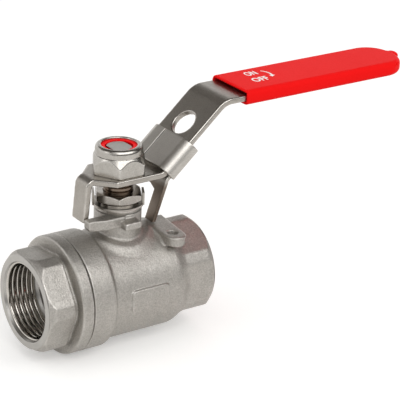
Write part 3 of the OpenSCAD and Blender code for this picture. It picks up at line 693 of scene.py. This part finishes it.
@dataclass
class PipeEnd:
    """Hexagonal wrench end with a tapped mouth, shared by the cap and the body.

    Distances along the pipe are measured outwards from the ball's centre.
    """

    face: float
    minor_r: float
    turn: float
    sign: int
    mouth_r: float = 13.7
    countersink: float = 0.9
    groove_r: float = 13.22
    thread_len: float = 13.0
    pitch: float = 1.814
    crest: float = 0.36
    runout_turns: float = 0.45
    flat: float = 16.0
    corner: float = 17.4
    chamfer: float = 2.3
    chamfer_face_r: float = 15.85
    port_r: float = 10.0
    bore_r: float = 14.35
    face_skin: float = 0.25

    def hex_angle(self) -> float:
        """Angle of one corner in the plane (y, z), in degrees."""
        return self.turn - 90

    def wrench(self, x: Array, y: Array, z: Array, start: float) -> Array:
        """The chamfered hexagon from a station out to just under the face.

        Args:
            x: distance outwards along the pipe.
            y: sideways.
            z: up.
            start: station where the hexagon begins.

        Returns:
            The distance field.
        """
        d = prism(hexagon(y, z, self.flat, self.corner, self.hex_angle(), 0.25),
                  x, start, self.face - self.face_skin, 0.1)
        slope = (self.corner + 0.2 - self.chamfer_face_r) / self.chamfer
        return both(d, cone(np.hypot(y, z), self.face - x, self.chamfer_face_r, slope), 0.12)

    def bored(self, d: Array, x: Array, y: Array, z: Array) -> Array:
        """Takes the mouth and the waterway out of a casting.

        Args:
            d: the casting's distance field.
            x: distance outwards along the pipe.
            y: sideways.
            z: up.

        Returns:
            The bored field.
        """
        r = np.hypot(y, z)
        d = cut(d, np.maximum(r - self.bore_r, self.face - self.thread_len + 0.1 - x))
        return cut(d, r - self.port_r, 0.15)

    def mouth(self, name: str, material: Material) -> Piece:
        """The turned face, countersink and thread wall.

        Args:
            name: the piece's name.
            material: its finish.

        Returns:
            The new object.
        """
        f, inner, skin = self.face, self.face - self.thread_len, self.face_skin
        edge, back_r = self.chamfer_face_r, self.bore_r - 0.05
        outline = [(inner, self.groove_r - 0.9), (inner, back_r), (f - skin, back_r),
                   (f - skin, edge + 0.18), (f - 0.05, edge - 0.02), (f, edge - 0.12),
                   (f, self.mouth_r + 0.08), (f - 0.06, self.mouth_r),
                   (f - self.countersink, self.groove_r), (inner + 1.2, self.groove_r)]
        outline = [(self.sign * x, r) for x, r in outline]
        points, faces = lathe(outline if self.sign < 0 else outline[::-1])
        return new_piece(name, points, faces, material, smooth=False)

    def thread(self, name: str, tree: Tree, material: Material) -> Piece:
        """The tapped thread, wound by Geometry Nodes.

        Args:
            name: the piece's name.
            tree: the thread's tree.
            material: its finish.

        Returns:
            The new object.
        """
        # Both ends of the thread stay clear of the face and of the mouth's floor
        turns = (self.thread_len - 1.6) / self.pitch
        first = self.face - 0.75
        # Its root sinks into the wall, so that no gap shows between the two
        root_r = self.groove_r + 0.1
        # The helix climbs its Z, which turns to run inwards from the face
        turn_down = Matrix.Rotation(math.radians(-90 * self.sign), 4, "Y")
        start = Vector((self.sign * first + INLET_LENGTH, 0.0, 0.0)) * MM
        return grow(name, tree, {
            "Turns": turns, "Pitch": self.pitch * MM, "Root Radius": root_r * MM,
            "Root Width": self.pitch * 0.97 * MM, "Crest Width": self.crest * MM,
            "Height": (root_r - self.minor_r - 0.02) * MM, "Run-out Turns": self.runout_turns,
            "Steps per Turn": 96, "Finish": material}, Matrix.Translation(start) @ turn_down)


@dataclass
class Castings:
    """Body and end cap, both investment cast, with their machined mouths.

    A bore is given as its radius, its start and its end.
    """

    grain: Material
    turned: Material
    tapped: Material
    ridge: Tree
    step: float = 0.36
    rim_mm: float = 0.5
    ring_r: float = 20.2
    ring_round: float = 0.8
    seam: float = 20.75
    body_ring: float = 8.6
    cap_ring: Pair = (21.05, 25.15)
    cap_wrench: float = 26.45
    spigot_r: float = 16.95
    barrel_r: float = 18.5
    barrel_end: float = 15.6
    shoulder_len: float = 3.4
    shoulder_r: float = 16.1
    pad_rise: float = 0.7
    neck_r: float = 8.0
    neck_top: float = 26.8
    neck_fillet: float = 0.9
    saddle_r: float = 10.7
    saddle_rise: float = 0.4
    saddle_fillet: float = 2.4
    stop_foot: float = 23.8
    ear_x: float = 14.6
    ear_y: float = -13.6
    ear_r: float = 3.4
    ear_top: float = 18.55
    ear_thick: float = 3.6
    ear_hole: Pair = (-11.7, 1.9)
    seat_r: float = 14.55
    pipe_bores: tuple[Point, ...] = ((16.98, -30.0, -10.0), (15.9, -11.0, 8.9), (14.55, 8.0, 13.5))
    neck_bores: tuple[Point, ...] = ((6.6, 0.0, 17.8), (STEM_HOLE_R, 10.0, 30.0), (6.73, 20.2, 30.0))
    inlet: PipeEnd = field(default_factory=lambda: PipeEnd(36.0, 12.06, 24.0, -1))
    outlet: PipeEnd = field(default_factory=lambda: PipeEnd(30.0, 12.22, 0.0, 1))

    def build(self) -> None:
        """Builds both castings, their mouths and their threads."""
        hand_over(self.body(), Body.VALVE, Slot.CAST, "body")
        hand_over(self.cap(), Body.VALVE, Slot.CAST, "end_cap")
        for end, name in ((self.inlet, "inlet"), (self.outlet, "outlet")):
            hand_over(end.mouth(name + "_mouth", self.turned), Body.VALVE, Slot.CAST)
            hand_over(end.thread(name + "_thread", self.ridge, self.tapped), Body.VALVE, Slot.CAST)

    def body(self) -> Piece:
        """The body: ring, barrel, shoulder, neck, lugs, ear, pad and its cavities.

        Returns:
            The new object.
        """
        f = Field((-22.0, -21.0, -21.0), (31.0, 21.0, 28.0), self.step)
        x, y, z = f.x, f.y, f.z
        r, around = np.hypot(y, z), np.hypot(x, y)
        ring = both(r - self.ring_r, x + self.seam - self.body_ring, self.ring_round)
        ring = both(ring, -self.seam - x, 0.2)
        slope = (self.shoulder_r - self.barrel_r) / self.shoulder_len
        taper = cone(r, x - self.barrel_end, self.barrel_r, slope)
        barrel = prism(both(r - self.barrel_r, taper, 1.0),
                       x, -19.0, self.barrel_end + self.shoulder_len, 0.3)
        d = join(ring, barrel, 1.5)
        d = join(d, self.outlet.wrench(x, y, z, 12.0), 0.9)
        d = join(d, self.pad(x, y, z), 0.12)
        saddle = both(both(around - self.saddle_r, r - self.barrel_r - self.saddle_rise, 0.5), -z)
        d = join(d, saddle, self.saddle_fillet)
        neck = prism(around - self.neck_r, z, 0.0, self.neck_top, 0.35)
        d = join(d, neck, self.neck_fillet)
        d = join(d, self.lugs(x, y, z), 0.5)
        d = join(d, self.ear(x, y, z), 0.9)
        d = self.outlet.bored(d, x, y, z)
        for wall, along, bores in ((r, x, self.pipe_bores), (around, z, self.neck_bores)):
            for radius, start, end in bores:
                d = cut(d, np.maximum(wall - radius, slab(along, start, end)))
        hole_y, hole_r = self.ear_hole
        hole = np.maximum(np.hypot(x - self.ear_x, y - hole_y) - hole_r,
                          slab(z, self.ear_top - self.ear_thick, 22.0))
        d = cut(d, hole, 0.2)
        return f.piece("body_casting", d, self.grain, rim_mm=self.rim_mm)

    def pad(self, x: Array, y: Array, z: Array) -> Array:
        """The raised pad on the near side of the barrel."""
        plan = box2(x - 1.9, z, 7.35, 4.0, 1.5)
        return both(np.maximum(plan, y), np.hypot(y, z) - self.barrel_r - self.pad_rise, 0.2)

    def lugs(self, x: Array, y: Array, z: Array) -> Array:
        """The two stop lugs, the wedge beside the first, and the guard lug.

        Args:
            x: along the pipe.
            y: sideways.
            z: up.

        Returns:
            The distance field.
        """
        wedge = polygon(x, y, [(-15.6, -3.8), (-15.6, -6.9), (-9.6, -9.0), (-2.0, -9.0), (-2.0, -3.8)])
        d = prism(wedge + 0.3, z, 23.2, self.neck_top, 0.3)
        for along, across in ((x + 8.8, y + 5.5), (y - 8.8, x - 5.5)):
            stop = prism(box2(along, across, 6.8, 1.7, 0.35), z, self.stop_foot, self.neck_top, 0.3)
            d = np.minimum(d, stop)
        guard = prism(box2(x + 1.1, y + 8.0, 3.15, 4.0, 0.35), z, 22.9, 25.4, 0.3)
        return np.minimum(d, guard)

    def ear(self, x: Array, y: Array, z: Array) -> Array:
        """The ear: a thin plate on a thicker boss and web.

        Args:
            x: along the pipe.
            y: sideways.
            z: up.

        Returns:
            The distance field.
        """
        web = polygon(x, y, [(11.2, self.ear_y), (18.0, self.ear_y), (20.0, 3.4), (11.2, 3.4)])
        outline = np.minimum(np.hypot(x - self.ear_x, y - self.ear_y) - self.ear_r, web)
        top = self.ear_top
        plate = prism(outline, z, top - 1.0, top, 0.2)
        boss = prism(outline + 0.3, z, top - self.ear_thick, top - 0.5, 0.5)
        return np.minimum(plate, boss)

    def cap(self) -> Piece:
        """The end cap: spigot, joint ring, groove and wrench end.

        Returns:
            The new object.
        """
        f = Field((-37.0, -21.0, -21.0), (-10.0, 21.0, 21.0), self.step)
        x, y, z = -f.x, f.y, f.z
        r, angle = np.hypot(y, z), self.inlet.hex_angle()
        back, front = self.cap_ring
        ring = both(both(r - self.ring_r, x - front, self.ring_round), back - x, 0.2)
        wrench = self.inlet.wrench(x, y, z, self.cap_wrench)
        lip = prism(hexagon(y, z, 16.12, 17.5, angle, 0.5), x, 26.4, 27.1, 0.3)
        waist = np.maximum(hexagon(y, z, 15.1, 16.3, angle, 0.8), slab(x, 21.5, 30.0))
        d = join(ring, join(np.minimum(wrench, lip), waist, 0.3), 0.7)
        d = np.minimum(d, np.maximum(r - self.spigot_r, slab(x, 11.0, 22.0)))
        d = cut(d, np.maximum(r - self.seat_r, slab(x, 10.0, 13.5)))
        d = self.inlet.bored(d, x, y, z)
        return f.piece("cap_casting", d, self.grain, rim_mm=self.rim_mm)


# ---- Lever, latch, nuts and grip ------------------------------------------


@dataclass
class LeverSet:
    """Lever, latch, locknut, packing nut and grip.

    Holes are given as their place and radius. Latch levels are measured out of
    the incline's top face, and its stations up the incline.
    """

    finishes: dict[str, Material]
    sheet: float = 2.1
    width: float = 19.0
    plate_top: float = 39.9
    tab_x: float = 13.5
    tab_half: float = 3.65
    tab_foot: float = 25.0
    lean: float = 5.0
    flare_x: float = 6.3
    incline_x: float = 11.7
    incline: float = 41.6
    rise: float = 21.3
    end: float = 110.0
    padlock: Pair = (18.5, 4.5)
    knee_r: float = 2.1
    foot_r: float = 3.4
    crest_r: float = 7.0
    stem_flat: float = 3.56
    latch_top: float = 1.55
    latch_low: float = -4.35
    latch_half: float = 11.05
    latch_wall: float = 1.4
    latch_span: Pair = (0.5, 13.3)
    latch_seam: Pair = (3.1, 0.25)
    latch_knee: float = 1.2
    tongue_foot: float = 19.0
    tongue_root: float = 31.5
    tongue_half: float = 2.4
    packing_span: Pair = (29.92, 33.02)
    grip_span: Pair = (44.19, 115.8)
    grip_mid: float = 60.55
    grip_half: float = 10.5
    nib_at: Point = (115.7, 0.2, 61.5)
    nib_r: Point = (2.5, 2.6, 1.45)
    print_top: float = 63.0
    print_mm: float = 0.024
    words: tuple = (("mark_on", "ON", (56.1, 4.5), 4.6), ("mark_off", "OFF", (55.7, -1.8), 6.4))
    word_height: float = 3.7
    arrow_at: Pair = (57.2, 1.6)

    def build(self) -> None:
        """Builds each piece of the set."""
        hand_over(self.lever(), Body.LEVER, Slot.PRESSED, "lever")
        hand_over(self.latch(), Body.LATCH, Slot.PRESSED, "latch")
        hand_over(self.locknut(), Body.LEVER, Slot.BRIGHT, "handle_nut")
        hand_over(self.packing_nut(), Body.LEVER, Slot.MACHINED, "packing_nut")
        hand_over(self.grip(), Body.LEVER, Slot.VINYL, "grip")
        self.print_marks()

    def up_incline(self, x: Array, z: Array) -> tuple[Array, Array]:
        """Turns places to the incline's own directions.

        Args:
            x: along the pipe.
            z: up.

        Returns:
            Distance up the incline and out of its top face.
        """
        a = math.radians(self.incline)
        dx, dz = x - self.incline_x, z - self.plate_top
        return dx * math.cos(a) + dz * math.sin(a), dz * math.cos(a) - dx * math.sin(a)

    def lever(self) -> Piece:
        """The bent lever, with the stem's hole and the padlock hole.

        Returns:
            The new object.
        """
        f = Field((-16.5, -10.2, 24.0), (111.0, 10.2, 62.2), 0.34)
        x, y, z = f.x, f.y, f.z
        half = self.sheet / 2
        mid, up, a = self.plate_top - half, math.radians(90 - self.lean), math.radians(self.incline)
        knee = (-self.tab_x, mid)
        foot = (self.incline_x + half * math.tan(a / 2), mid)
        crest = (foot[0] + self.rise / math.tan(a), mid + self.rise)
        drop = (mid - self.tab_foot) / math.sin(up)
        profile = bent_sheet(x, z, half, (knee[0] - math.cos(up) * drop, self.tab_foot), [
            (knee, 90 - self.lean, 0, self.knee_r, 16), (foot, 0, self.incline, self.foot_r, 16),
            (crest, self.incline, 0, self.crest_r, 24)], (self.end, crest[1]))
        w, t, fx, past = self.width / 2, self.tab_half, self.flare_x, -27
        flare = fx + w - t
        plan = polygon(x, y, [(past, -t), (-flare, -t), (-fx, -w), (self.end, -w),
                              (self.end, w), (-fx, w), (-flare, t), (past, t)])
        d = both(profile, plan, 0.28)
        # The stem's hole keeps its two flats and stays below the handle
        hole = np.maximum(np.hypot(x, y) - STEM_HOLE_R, box2(x, y, self.stem_flat, 20.0))
        d = cut(d, np.maximum(hole, z - 45), 0.1)
        u, n = self.up_incline(x, z)
        hole_u, hole_r = self.padlock
        d = cut(d, np.maximum(np.hypot(u - hole_u, y) - hole_r, np.abs(n + half) - 4), 0.2)
        return f.piece("lever_sheet", d, self.finishes["sheet"], rim_mm=0.5)

    def latch(self) -> Piece:
        """The folded slide with its tongue.

        Returns:
            The new object.
        """
        f = Field((8.0, -11.6, 18.4), (24.4, 11.6, 51.2), 0.2)
        x, y, z = f.x, f.y, f.z
        u, n = self.up_incline(x, z)
        top, low, wall = self.latch_top, self.latch_low, self.latch_wall
        side, half = np.abs(y) - self.latch_half, wall / 2
        sleeve = both(both(side, n - top, 3.8), low - n, 0.8)
        pocket = both(both(side + wall, n - top + wall, 0.3), low + wall - n, 0.3)
        sleeve = both(cut(sleeve, pocket), slab(u, *self.latch_span), 0.2)
        seam_y, seam_half = self.latch_seam
        seam = np.maximum(np.abs(y - seam_y) - seam_half, (top + low) / 2 - n)
        sleeve = cut(sleeve, seam, 0.25)
        # The tongue starts inside the sleeve's lower wall and bends straight down
        a, level = math.radians(self.incline), low + half
        base = (self.incline_x - math.sin(a) * level, self.plate_top + math.cos(a) * level)
        start, knee = ((base[0] + math.cos(a) * reach, base[1] + math.sin(a) * reach)
                       for reach in (1.5, -self.latch_knee))
        foot_z, root_z = self.tongue_foot, self.tongue_root
        side_view = bent_sheet(x, z, half, start, [(knee, self.incline + 180, 270, 1.8, 16)],
                               (knee[0], foot_z))
        # Seen along the pipe, it leans to one side from its foot and ends as wide as the sleeve
        w, slope, edge, high = self.tongue_half, 0.41, 9.2, self.plate_top + 4
        lean = w - (root_z - foot_z) * slope
        front = polygon(y, z, [(-w, foot_z), (w, foot_z), (lean, root_z), (lean + 2.4, root_z + 1.5),
                               (edge, root_z + 1.5), (edge, high), (-edge, high),
                               (-edge, foot_z + (edge - w) / slope)])
        tongue = both(side_view, front, 0.2)
        return f.piece("latch_slide", np.minimum(sleeve, tongue), self.finishes["slide"], rim_mm=0.45)

    def locknut(self) -> Piece:
        """The collared locknut over the lever, with its rolled rim.

        Returns:
            The new object.
        """
        f = Field((-10.3, -10.3, 39.3), (10.3, 10.3, 49.6), 0.16)
        x, y, z = f.x, f.y, f.z - self.plate_top
        r = np.hypot(x, y)
        flat, corner, hex_top = 8.5, 9.72, 6.4
        d = both(hexagon(x, y, flat, corner, 60.0, 0.4), slab(z, 0.0, hex_top), 0.1)
        d = both(d, both(cone(r, 5.75 - z, flat, 0.51), cone(r, z, 9.3, 1.4)), 0.08)
        collar = both(r - 7.95, slab(z, 5.9, 7.6), 0.1)
        bead_r, bead_z, bead_round, bead_top = 6.05, 7.45, 2.0, 9.38
        bead = np.hypot(np.maximum(r - bead_r, 0), np.maximum(np.abs(z - bead_z) - 0.3, 0)) - bead_round
        bead = np.maximum(both(bead, z - bead_top, 0.3), 6.6 - z)
        d = cut(join(join(d, collar, 0.1), bead, 0.1), r - STEM_HOLE_R)
        insert_r, insert_foot = 6.07, 6.05
        d = cut(d, np.maximum(r - insert_r, insert_foot - z), 0.3)
        return f.piece("locknut_shell", d, self.finishes["nut"], rim_mm=0.3)

    def packing_nut(self) -> Piece:
        """The thin packing nut with both faces chamfered.

        Returns:
            The new object.
        """
        f = Field((-9.2, -9.2, 29.4), (9.2, 9.2, 33.5), 0.15)
        x, y, z = f.x, f.y, f.z
        r = np.hypot(x, y)
        low, high = self.packing_span
        d = prism(hexagon(x, y, 7.5, 8.75, 1.0, 0.12), z, low, high, 0.12)
        for level in (z - low, high - z):
            d = both(d, cone(r, level, 7.35, 1.75), 0.08)
        d = cut(d, r - STEM_HOLE_R, 0.2)
        return f.piece("packing_nut_shell", d, self.finishes["bar"], rim_mm=0.3)

    def grip(self) -> Piece:
        """The dipped sleeve, closed at its tip, with a soft lip at its mouth.

        Returns:
            The new object.
        """
        f = Field((43.2, -11.2, 57.0), (119.0, 11.2, 63.8), 0.34)
        x, y, z = f.x, f.y, f.z
        (start, end), mid = self.grip_span, self.grip_mid
        # The outline runs on past the mouth, so that only the tip has round corners
        past = 8
        plan = box2(x - (start + end) / 2 + past, y, (end - start) / 2 + past, self.grip_half, 9.0)
        d = both(prism(plan, z, mid - 2.8, mid + 2.41, 1.9), start - x, 0.45)
        pocket = np.maximum(box2(y, z - mid, 9.52, 1.47, 0.05), x - 110.02)
        # The nib that the dip leaves where the last drop ran off
        out = np.sqrt(sum(((v - at) / half) ** 2 for v, at, half in zip((x, y, z), self.nib_at, self.nib_r)))
        d = join(cut(d, pocket, 0.3), out * self.nib_r[2] - self.nib_r[2], 0.5)
        return f.piece("grip_sleeve", d, self.finishes["vinyl"])

    def print_marks(self) -> None:
        """Prints ON, OFF and the turning arrow on the grip."""
        for name, text, at, width in self.words:
            curve = bpy.data.curves.new(name, "FONT")
            curve.body = text
            curve.offset = 0.022
            maker = link(bpy.data.objects.new(name + "_maker", curve))
            flat = bpy.data.meshes.new_from_object(maker.evaluated_get(bpy.context.evaluated_depsgraph_get()))
            bpy.data.objects.remove(maker)
            outline = np.array([v.co[:2] for v in flat.vertices])
            low, high = outline.min(0), outline.max(0)
            words = (outline - (low + high) / 2) * np.array([width, self.word_height]) / (high - low) + at
            self.print_film(name, words, [tuple(p.vertices) for p in flat.polygons])
        self.print_film("mark_arrow", *self.arrow())

    def print_film(self, name: str, outline: Array, faces: list) -> None:
        """Lays one printed mark on the grip as a thin closed film.

        Args:
            name: the mark's name.
            outline: its points (x, y).
            faces: faces that fill it.
        """
        points = np.column_stack([outline, np.full(len(outline), self.print_top - self.print_mm / 2)])
        film = new_piece(name, points, faces, self.finishes["ink"], smooth=False)
        solid = film.modifiers.new("film", "SOLIDIFY")
        solid.thickness = self.print_mm * MM
        solid.offset = 0.0
        hand_over(film, Body.LEVER, Slot.VINYL)

    def arrow(self) -> tuple[Array, list]:
        """The curved arrow that points from ON round to OFF.

        Returns:
            Points (x, y) and faces.
        """
        radius, steps, first, last, half, head = 5.0, 20, 44, -22, 0.36, 1.05
        points, faces = [], []
        for i in range(steps + 1):
            a = math.radians(first + (last - first) * i / steps)
            wide = half * (0.55 + 0.45 * i / steps)
            points += [(radius - wide, a), (radius + wide, a)]
            if i:
                faces.append((2 * i - 2, 2 * i - 1, 2 * i + 1, 2 * i))
        end, tip = math.radians(last), math.radians(last - 19)
        faces.append((len(points), len(points) + 1, len(points) + 2))
        points += [(radius - head, end), (radius + head, end), (radius, tip)]
        mid_x, mid_y = self.arrow_at
        return np.array([(mid_x + r * math.cos(a), mid_y + r * math.sin(a)) for r, a in points]), faces


# ---- CAD nodes kept as they are -------------------------------------------


@dataclass
class Trim:
    """The CAD nodes whose shapes stay, with their finishes."""

    finishes: dict[str, Material]

    def build(self) -> None:
        """Dresses each node that shows its own solid."""
        for name, node_names in {
            "ball": ["ball"],
            "ptfe": ["seat_ring_inlet", "seat_ring_outlet", "body_gasket", "thrust_washer",
                     "packing_ring_lower", "packing_ring_middle", "packing_ring_upper"],
            "stem": ["stem"],
            "rubber": ["stem_o_ring"],
            "bar": ["gland_ring"],
            "spring": ["spring_washer_lower", "spring_washer_upper"],
            "sheet": ["tab_washer"],
            "nylon": ["nut_insert"],
        }.items():
            for node_name in node_names:
                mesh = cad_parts[node_name].data
                mesh.materials.clear()
                mesh.materials.append(self.finishes[name])
                log.info("%s: %s", node_name, self.finishes[name].name)


# ---- Studio ---------------------------------------------------------------


@dataclass
class Studio:
    """Camera, floor, lamps and surroundings.

    Lamps are given as name, azimuth, elevation, width, height and power, and
    cards as name, azimuths, elevations and tone. Angles are degrees, azimuths
    of lamps and cards from +X. Lamps and cards are sized in metres.
    """

    azimuth: float = -35.796
    elevation: float = 22.602
    roll: float = 2.349
    distance: float = 661.509
    focal_px: float = 1950.131
    centre: Pair = (28.489, 26.797)
    picture_px: int = 400
    target: Point = (15.0, 0.0, 15.0)
    lamp_reach: float = 0.9
    lamp_table: tuple = (("key", -89.0, 42.0, 1.1, 0.40, 3.0), ("left", 172.0, 30.0, 0.35, 0.35, 0.5))
    card_reach: float = 1.1
    card_table: tuple = (
        ("back_card", (12, 205), (29, 62), "#74706C"), ("top_card", (-75, 205), (62, 90), "#4A4744"),
        ("front_card", (-160, -25), (0, 19), "#2E2B29"), ("right_card", (-32, 12), (0, 62), "#4A4744"))
    floor_half: float = 3.0
    floor_gap: float = 0.0003
    floor_lift: float = 0.3
    floor_gloss: float = 0.12
    soft_light: float = 0.8

    def build(self) -> None:
        """Builds the camera, the floor, the lamps and the world."""
        self.camera()
        self.floor()
        self.world()
        self.lamps()
        bpy.context.scene.view_settings.view_transform = "Standard"

    def camera(self) -> None:
        """Places the camera at the photograph's angle."""
        az, el, roll = (math.radians(a) for a in (self.azimuth, self.elevation, self.roll))
        back = Vector((math.sin(az) * math.cos(el), -math.cos(az) * math.cos(el), math.sin(el)))
        right = (-back).cross(Vector((0, 0, 1))).normalized()
        up = right.cross(-back)
        turned_right = math.cos(roll) * right + math.sin(roll) * up
        turned_up = -math.sin(roll) * right + math.cos(roll) * up
        at = back * self.distance + turned_right * self.centre[0] + turned_up * self.centre[1]
        data = bpy.data.cameras.new("camera")
        data.sensor_width = 36.0
        data.lens = self.focal_px / self.picture_px * data.sensor_width
        data.clip_start, data.clip_end = 0.01, 20.0
        camera = link(bpy.data.objects.new("camera", data))
        turn = Matrix((turned_right, turned_up, back)).transposed().to_4x4()
        camera.matrix_world = Matrix.Translation(Vector(to_part([at])[0])) @ turn
        bpy.context.scene.camera = camera

    def floor(self) -> None:
        """Lays a pale floor that keeps the shadow and shows white to the camera."""
        mesh = bpy.data.meshes.new("floor")
        size, z = self.floor_half, CAD_BOX[0][2] - self.floor_gap
        corners = [(-size, -size, z), (size, -size, z), (size, size, z), (-size, size, z)]
        mesh.from_pydata(corners, [], [(0, 1, 2, 3)])
        material = bpy.data.materials.new("pale_floor")
        tree = empty_tree(material)
        sees = add_node(tree, "ShaderNodeLightPath").outputs
        gloss = add_node(tree, "ShaderNodeMath", {"operation": "MULTIPLY"}, {
            0: sees["Is Glossy Ray"], 1: self.floor_gloss}).outputs[0]
        lift = add_node(tree, "ShaderNodeMath", {"operation": "MULTIPLY_ADD"}, {
            0: sees["Is Camera Ray"], 1: self.floor_lift, 2: gloss}).outputs[0]
        glow = add_node(tree, "ShaderNodeEmission", {}, {"Color": linear("#FFFFFF"), "Strength": lift})
        matt = add_node(tree, "ShaderNodeBsdfDiffuse", {}, {"Color": linear("#E9E8E6")})
        total = add_node(tree, "ShaderNodeAddShader", {}, {0: glow.outputs[0], 1: matt.outputs[0]})
        add_node(tree, "ShaderNodeOutputMaterial", {}, {"Surface": total.outputs[0]})
        mesh.materials.append(material)
        floor = link(bpy.data.objects.new("floor", mesh))

    def world(self) -> None:
        """Makes the surroundings: white where they are seen or reflected, softer as light."""
        world = bpy.data.worlds.new("studio")
        bpy.context.scene.world = world
        tree = empty_tree(world)
        sees = add_node(tree, "ShaderNodeLightPath").outputs
        shown = sees["Is Camera Ray"]
        for ray in ("Is Glossy Ray", "Is Transmission Ray"):
            shown = add_node(tree, "ShaderNodeMath", {"operation": "MAXIMUM"}, {
                0: shown, 1: sees[ray]}).outputs[0]
        level = add_node(tree, "ShaderNodeMapRange", {}, {
            "Value": shown, "From Min": 0.0, "From Max": 1.0,
            "To Min": self.soft_light, "To Max": 1.0}).outputs["Result"]
        sky = add_node(tree, "ShaderNodeBackground", {}, {"Color": linear("#FFFFFF"), "Strength": level})
        add_node(tree, "ShaderNodeOutputWorld", {}, {"Surface": sky.outputs[0]})

    def lamps(self) -> None:
        """Hangs the soft lamps and the dark cards that give metal its contrast."""
        target = Vector(to_part([self.target])[0])
        for name, azimuth, elevation, width, height, power in self.lamp_table:
            data = bpy.data.lights.new(name, "AREA")
            data.shape, data.size, data.size_y, data.energy = "RECTANGLE", width, height, power
            lamp = link(bpy.data.objects.new(name, data))
            way = self.direction(azimuth, elevation)
            turn = way.to_track_quat("Z", "Y").to_matrix().to_4x4()
            lamp.matrix_world = Matrix.Translation(target + way * self.lamp_reach) @ turn
        for name, azimuths, elevations, tone in self.card_table:
            self.card(name, target, azimuths, elevations, tone)

    @staticmethod
    def direction(azimuth: float, elevation: float) -> Vector:
        """Unit vector towards an azimuth from +X and an elevation, in degrees."""
        a, e = math.radians(azimuth), math.radians(elevation)
        return Vector((math.cos(a) * math.cos(e), math.sin(a) * math.cos(e), math.sin(e)))

    def card(self, name: str, target: Vector, azimuths: Pair, elevations: Pair, tone: str) -> None:
        """Hangs a curved dark card that only reflections see.

        Args:
            name: its name.
            target: the point that it curves around.
            azimuths: where it starts and ends around, in degrees from +X.
            elevations: where it starts and ends in height, in degrees.
            tone: its colour.
        """
        across, up = 24, 8
        (a0, a1), (e0, e1), row = azimuths, elevations, across + 1
        points = [target + self.card_reach * self.direction(
            a0 + (a1 - a0) * i / across, e0 + (e1 - e0) * k / up) for k in range(up + 1) for i in range(row)]
        faces = [(n, n + 1, n + row + 1, n + row)
                 for k in range(up) for n in range(k * row, k * row + across)]
        mesh = bpy.data.meshes.new(name)
        mesh.from_pydata(points, [], faces)
        material = bpy.data.materials.new(name + "_felt")
        tree = empty_tree(material)
        felt = add_node(tree, "ShaderNodeBsdfDiffuse", {}, {"Color": linear(tone)})
        add_node(tree, "ShaderNodeOutputMaterial", {}, {"Surface": felt.outputs[0]})
        mesh.materials.append(material)
        card = link(bpy.data.objects.new(name, mesh))
        card.visible_camera = card.visible_shadow = card.visible_diffuse = False


def main() -> None:
    """Builds the valve's pieces in order, then the studio."""
    logging.basicConfig(level=logging.INFO, format="%(name)s: %(message)s")
    made = {key: finish.build() for key, finish in {
        "cast": CAST, "turned": TURNED, "tapped": TAPPED, "sheet": SHEET, "slide": SLIDE, "nut": NUT,
        "bar": BAR, "stem": STEM, "spring": SPRING, "ball": BALL, "ptfe": PTFE, "rubber": RUBBER,
        "nylon": NYLON, "vinyl": VINYL, "ink": INK}.items()}
    ridge = ThreadTree().build()
    Studio().build()
    Castings(made["cast"], made["turned"], made["tapped"], ridge).build()
    LeverSet(made).build()
    Trim(made).build()


if __name__ == "__main__":
    main()
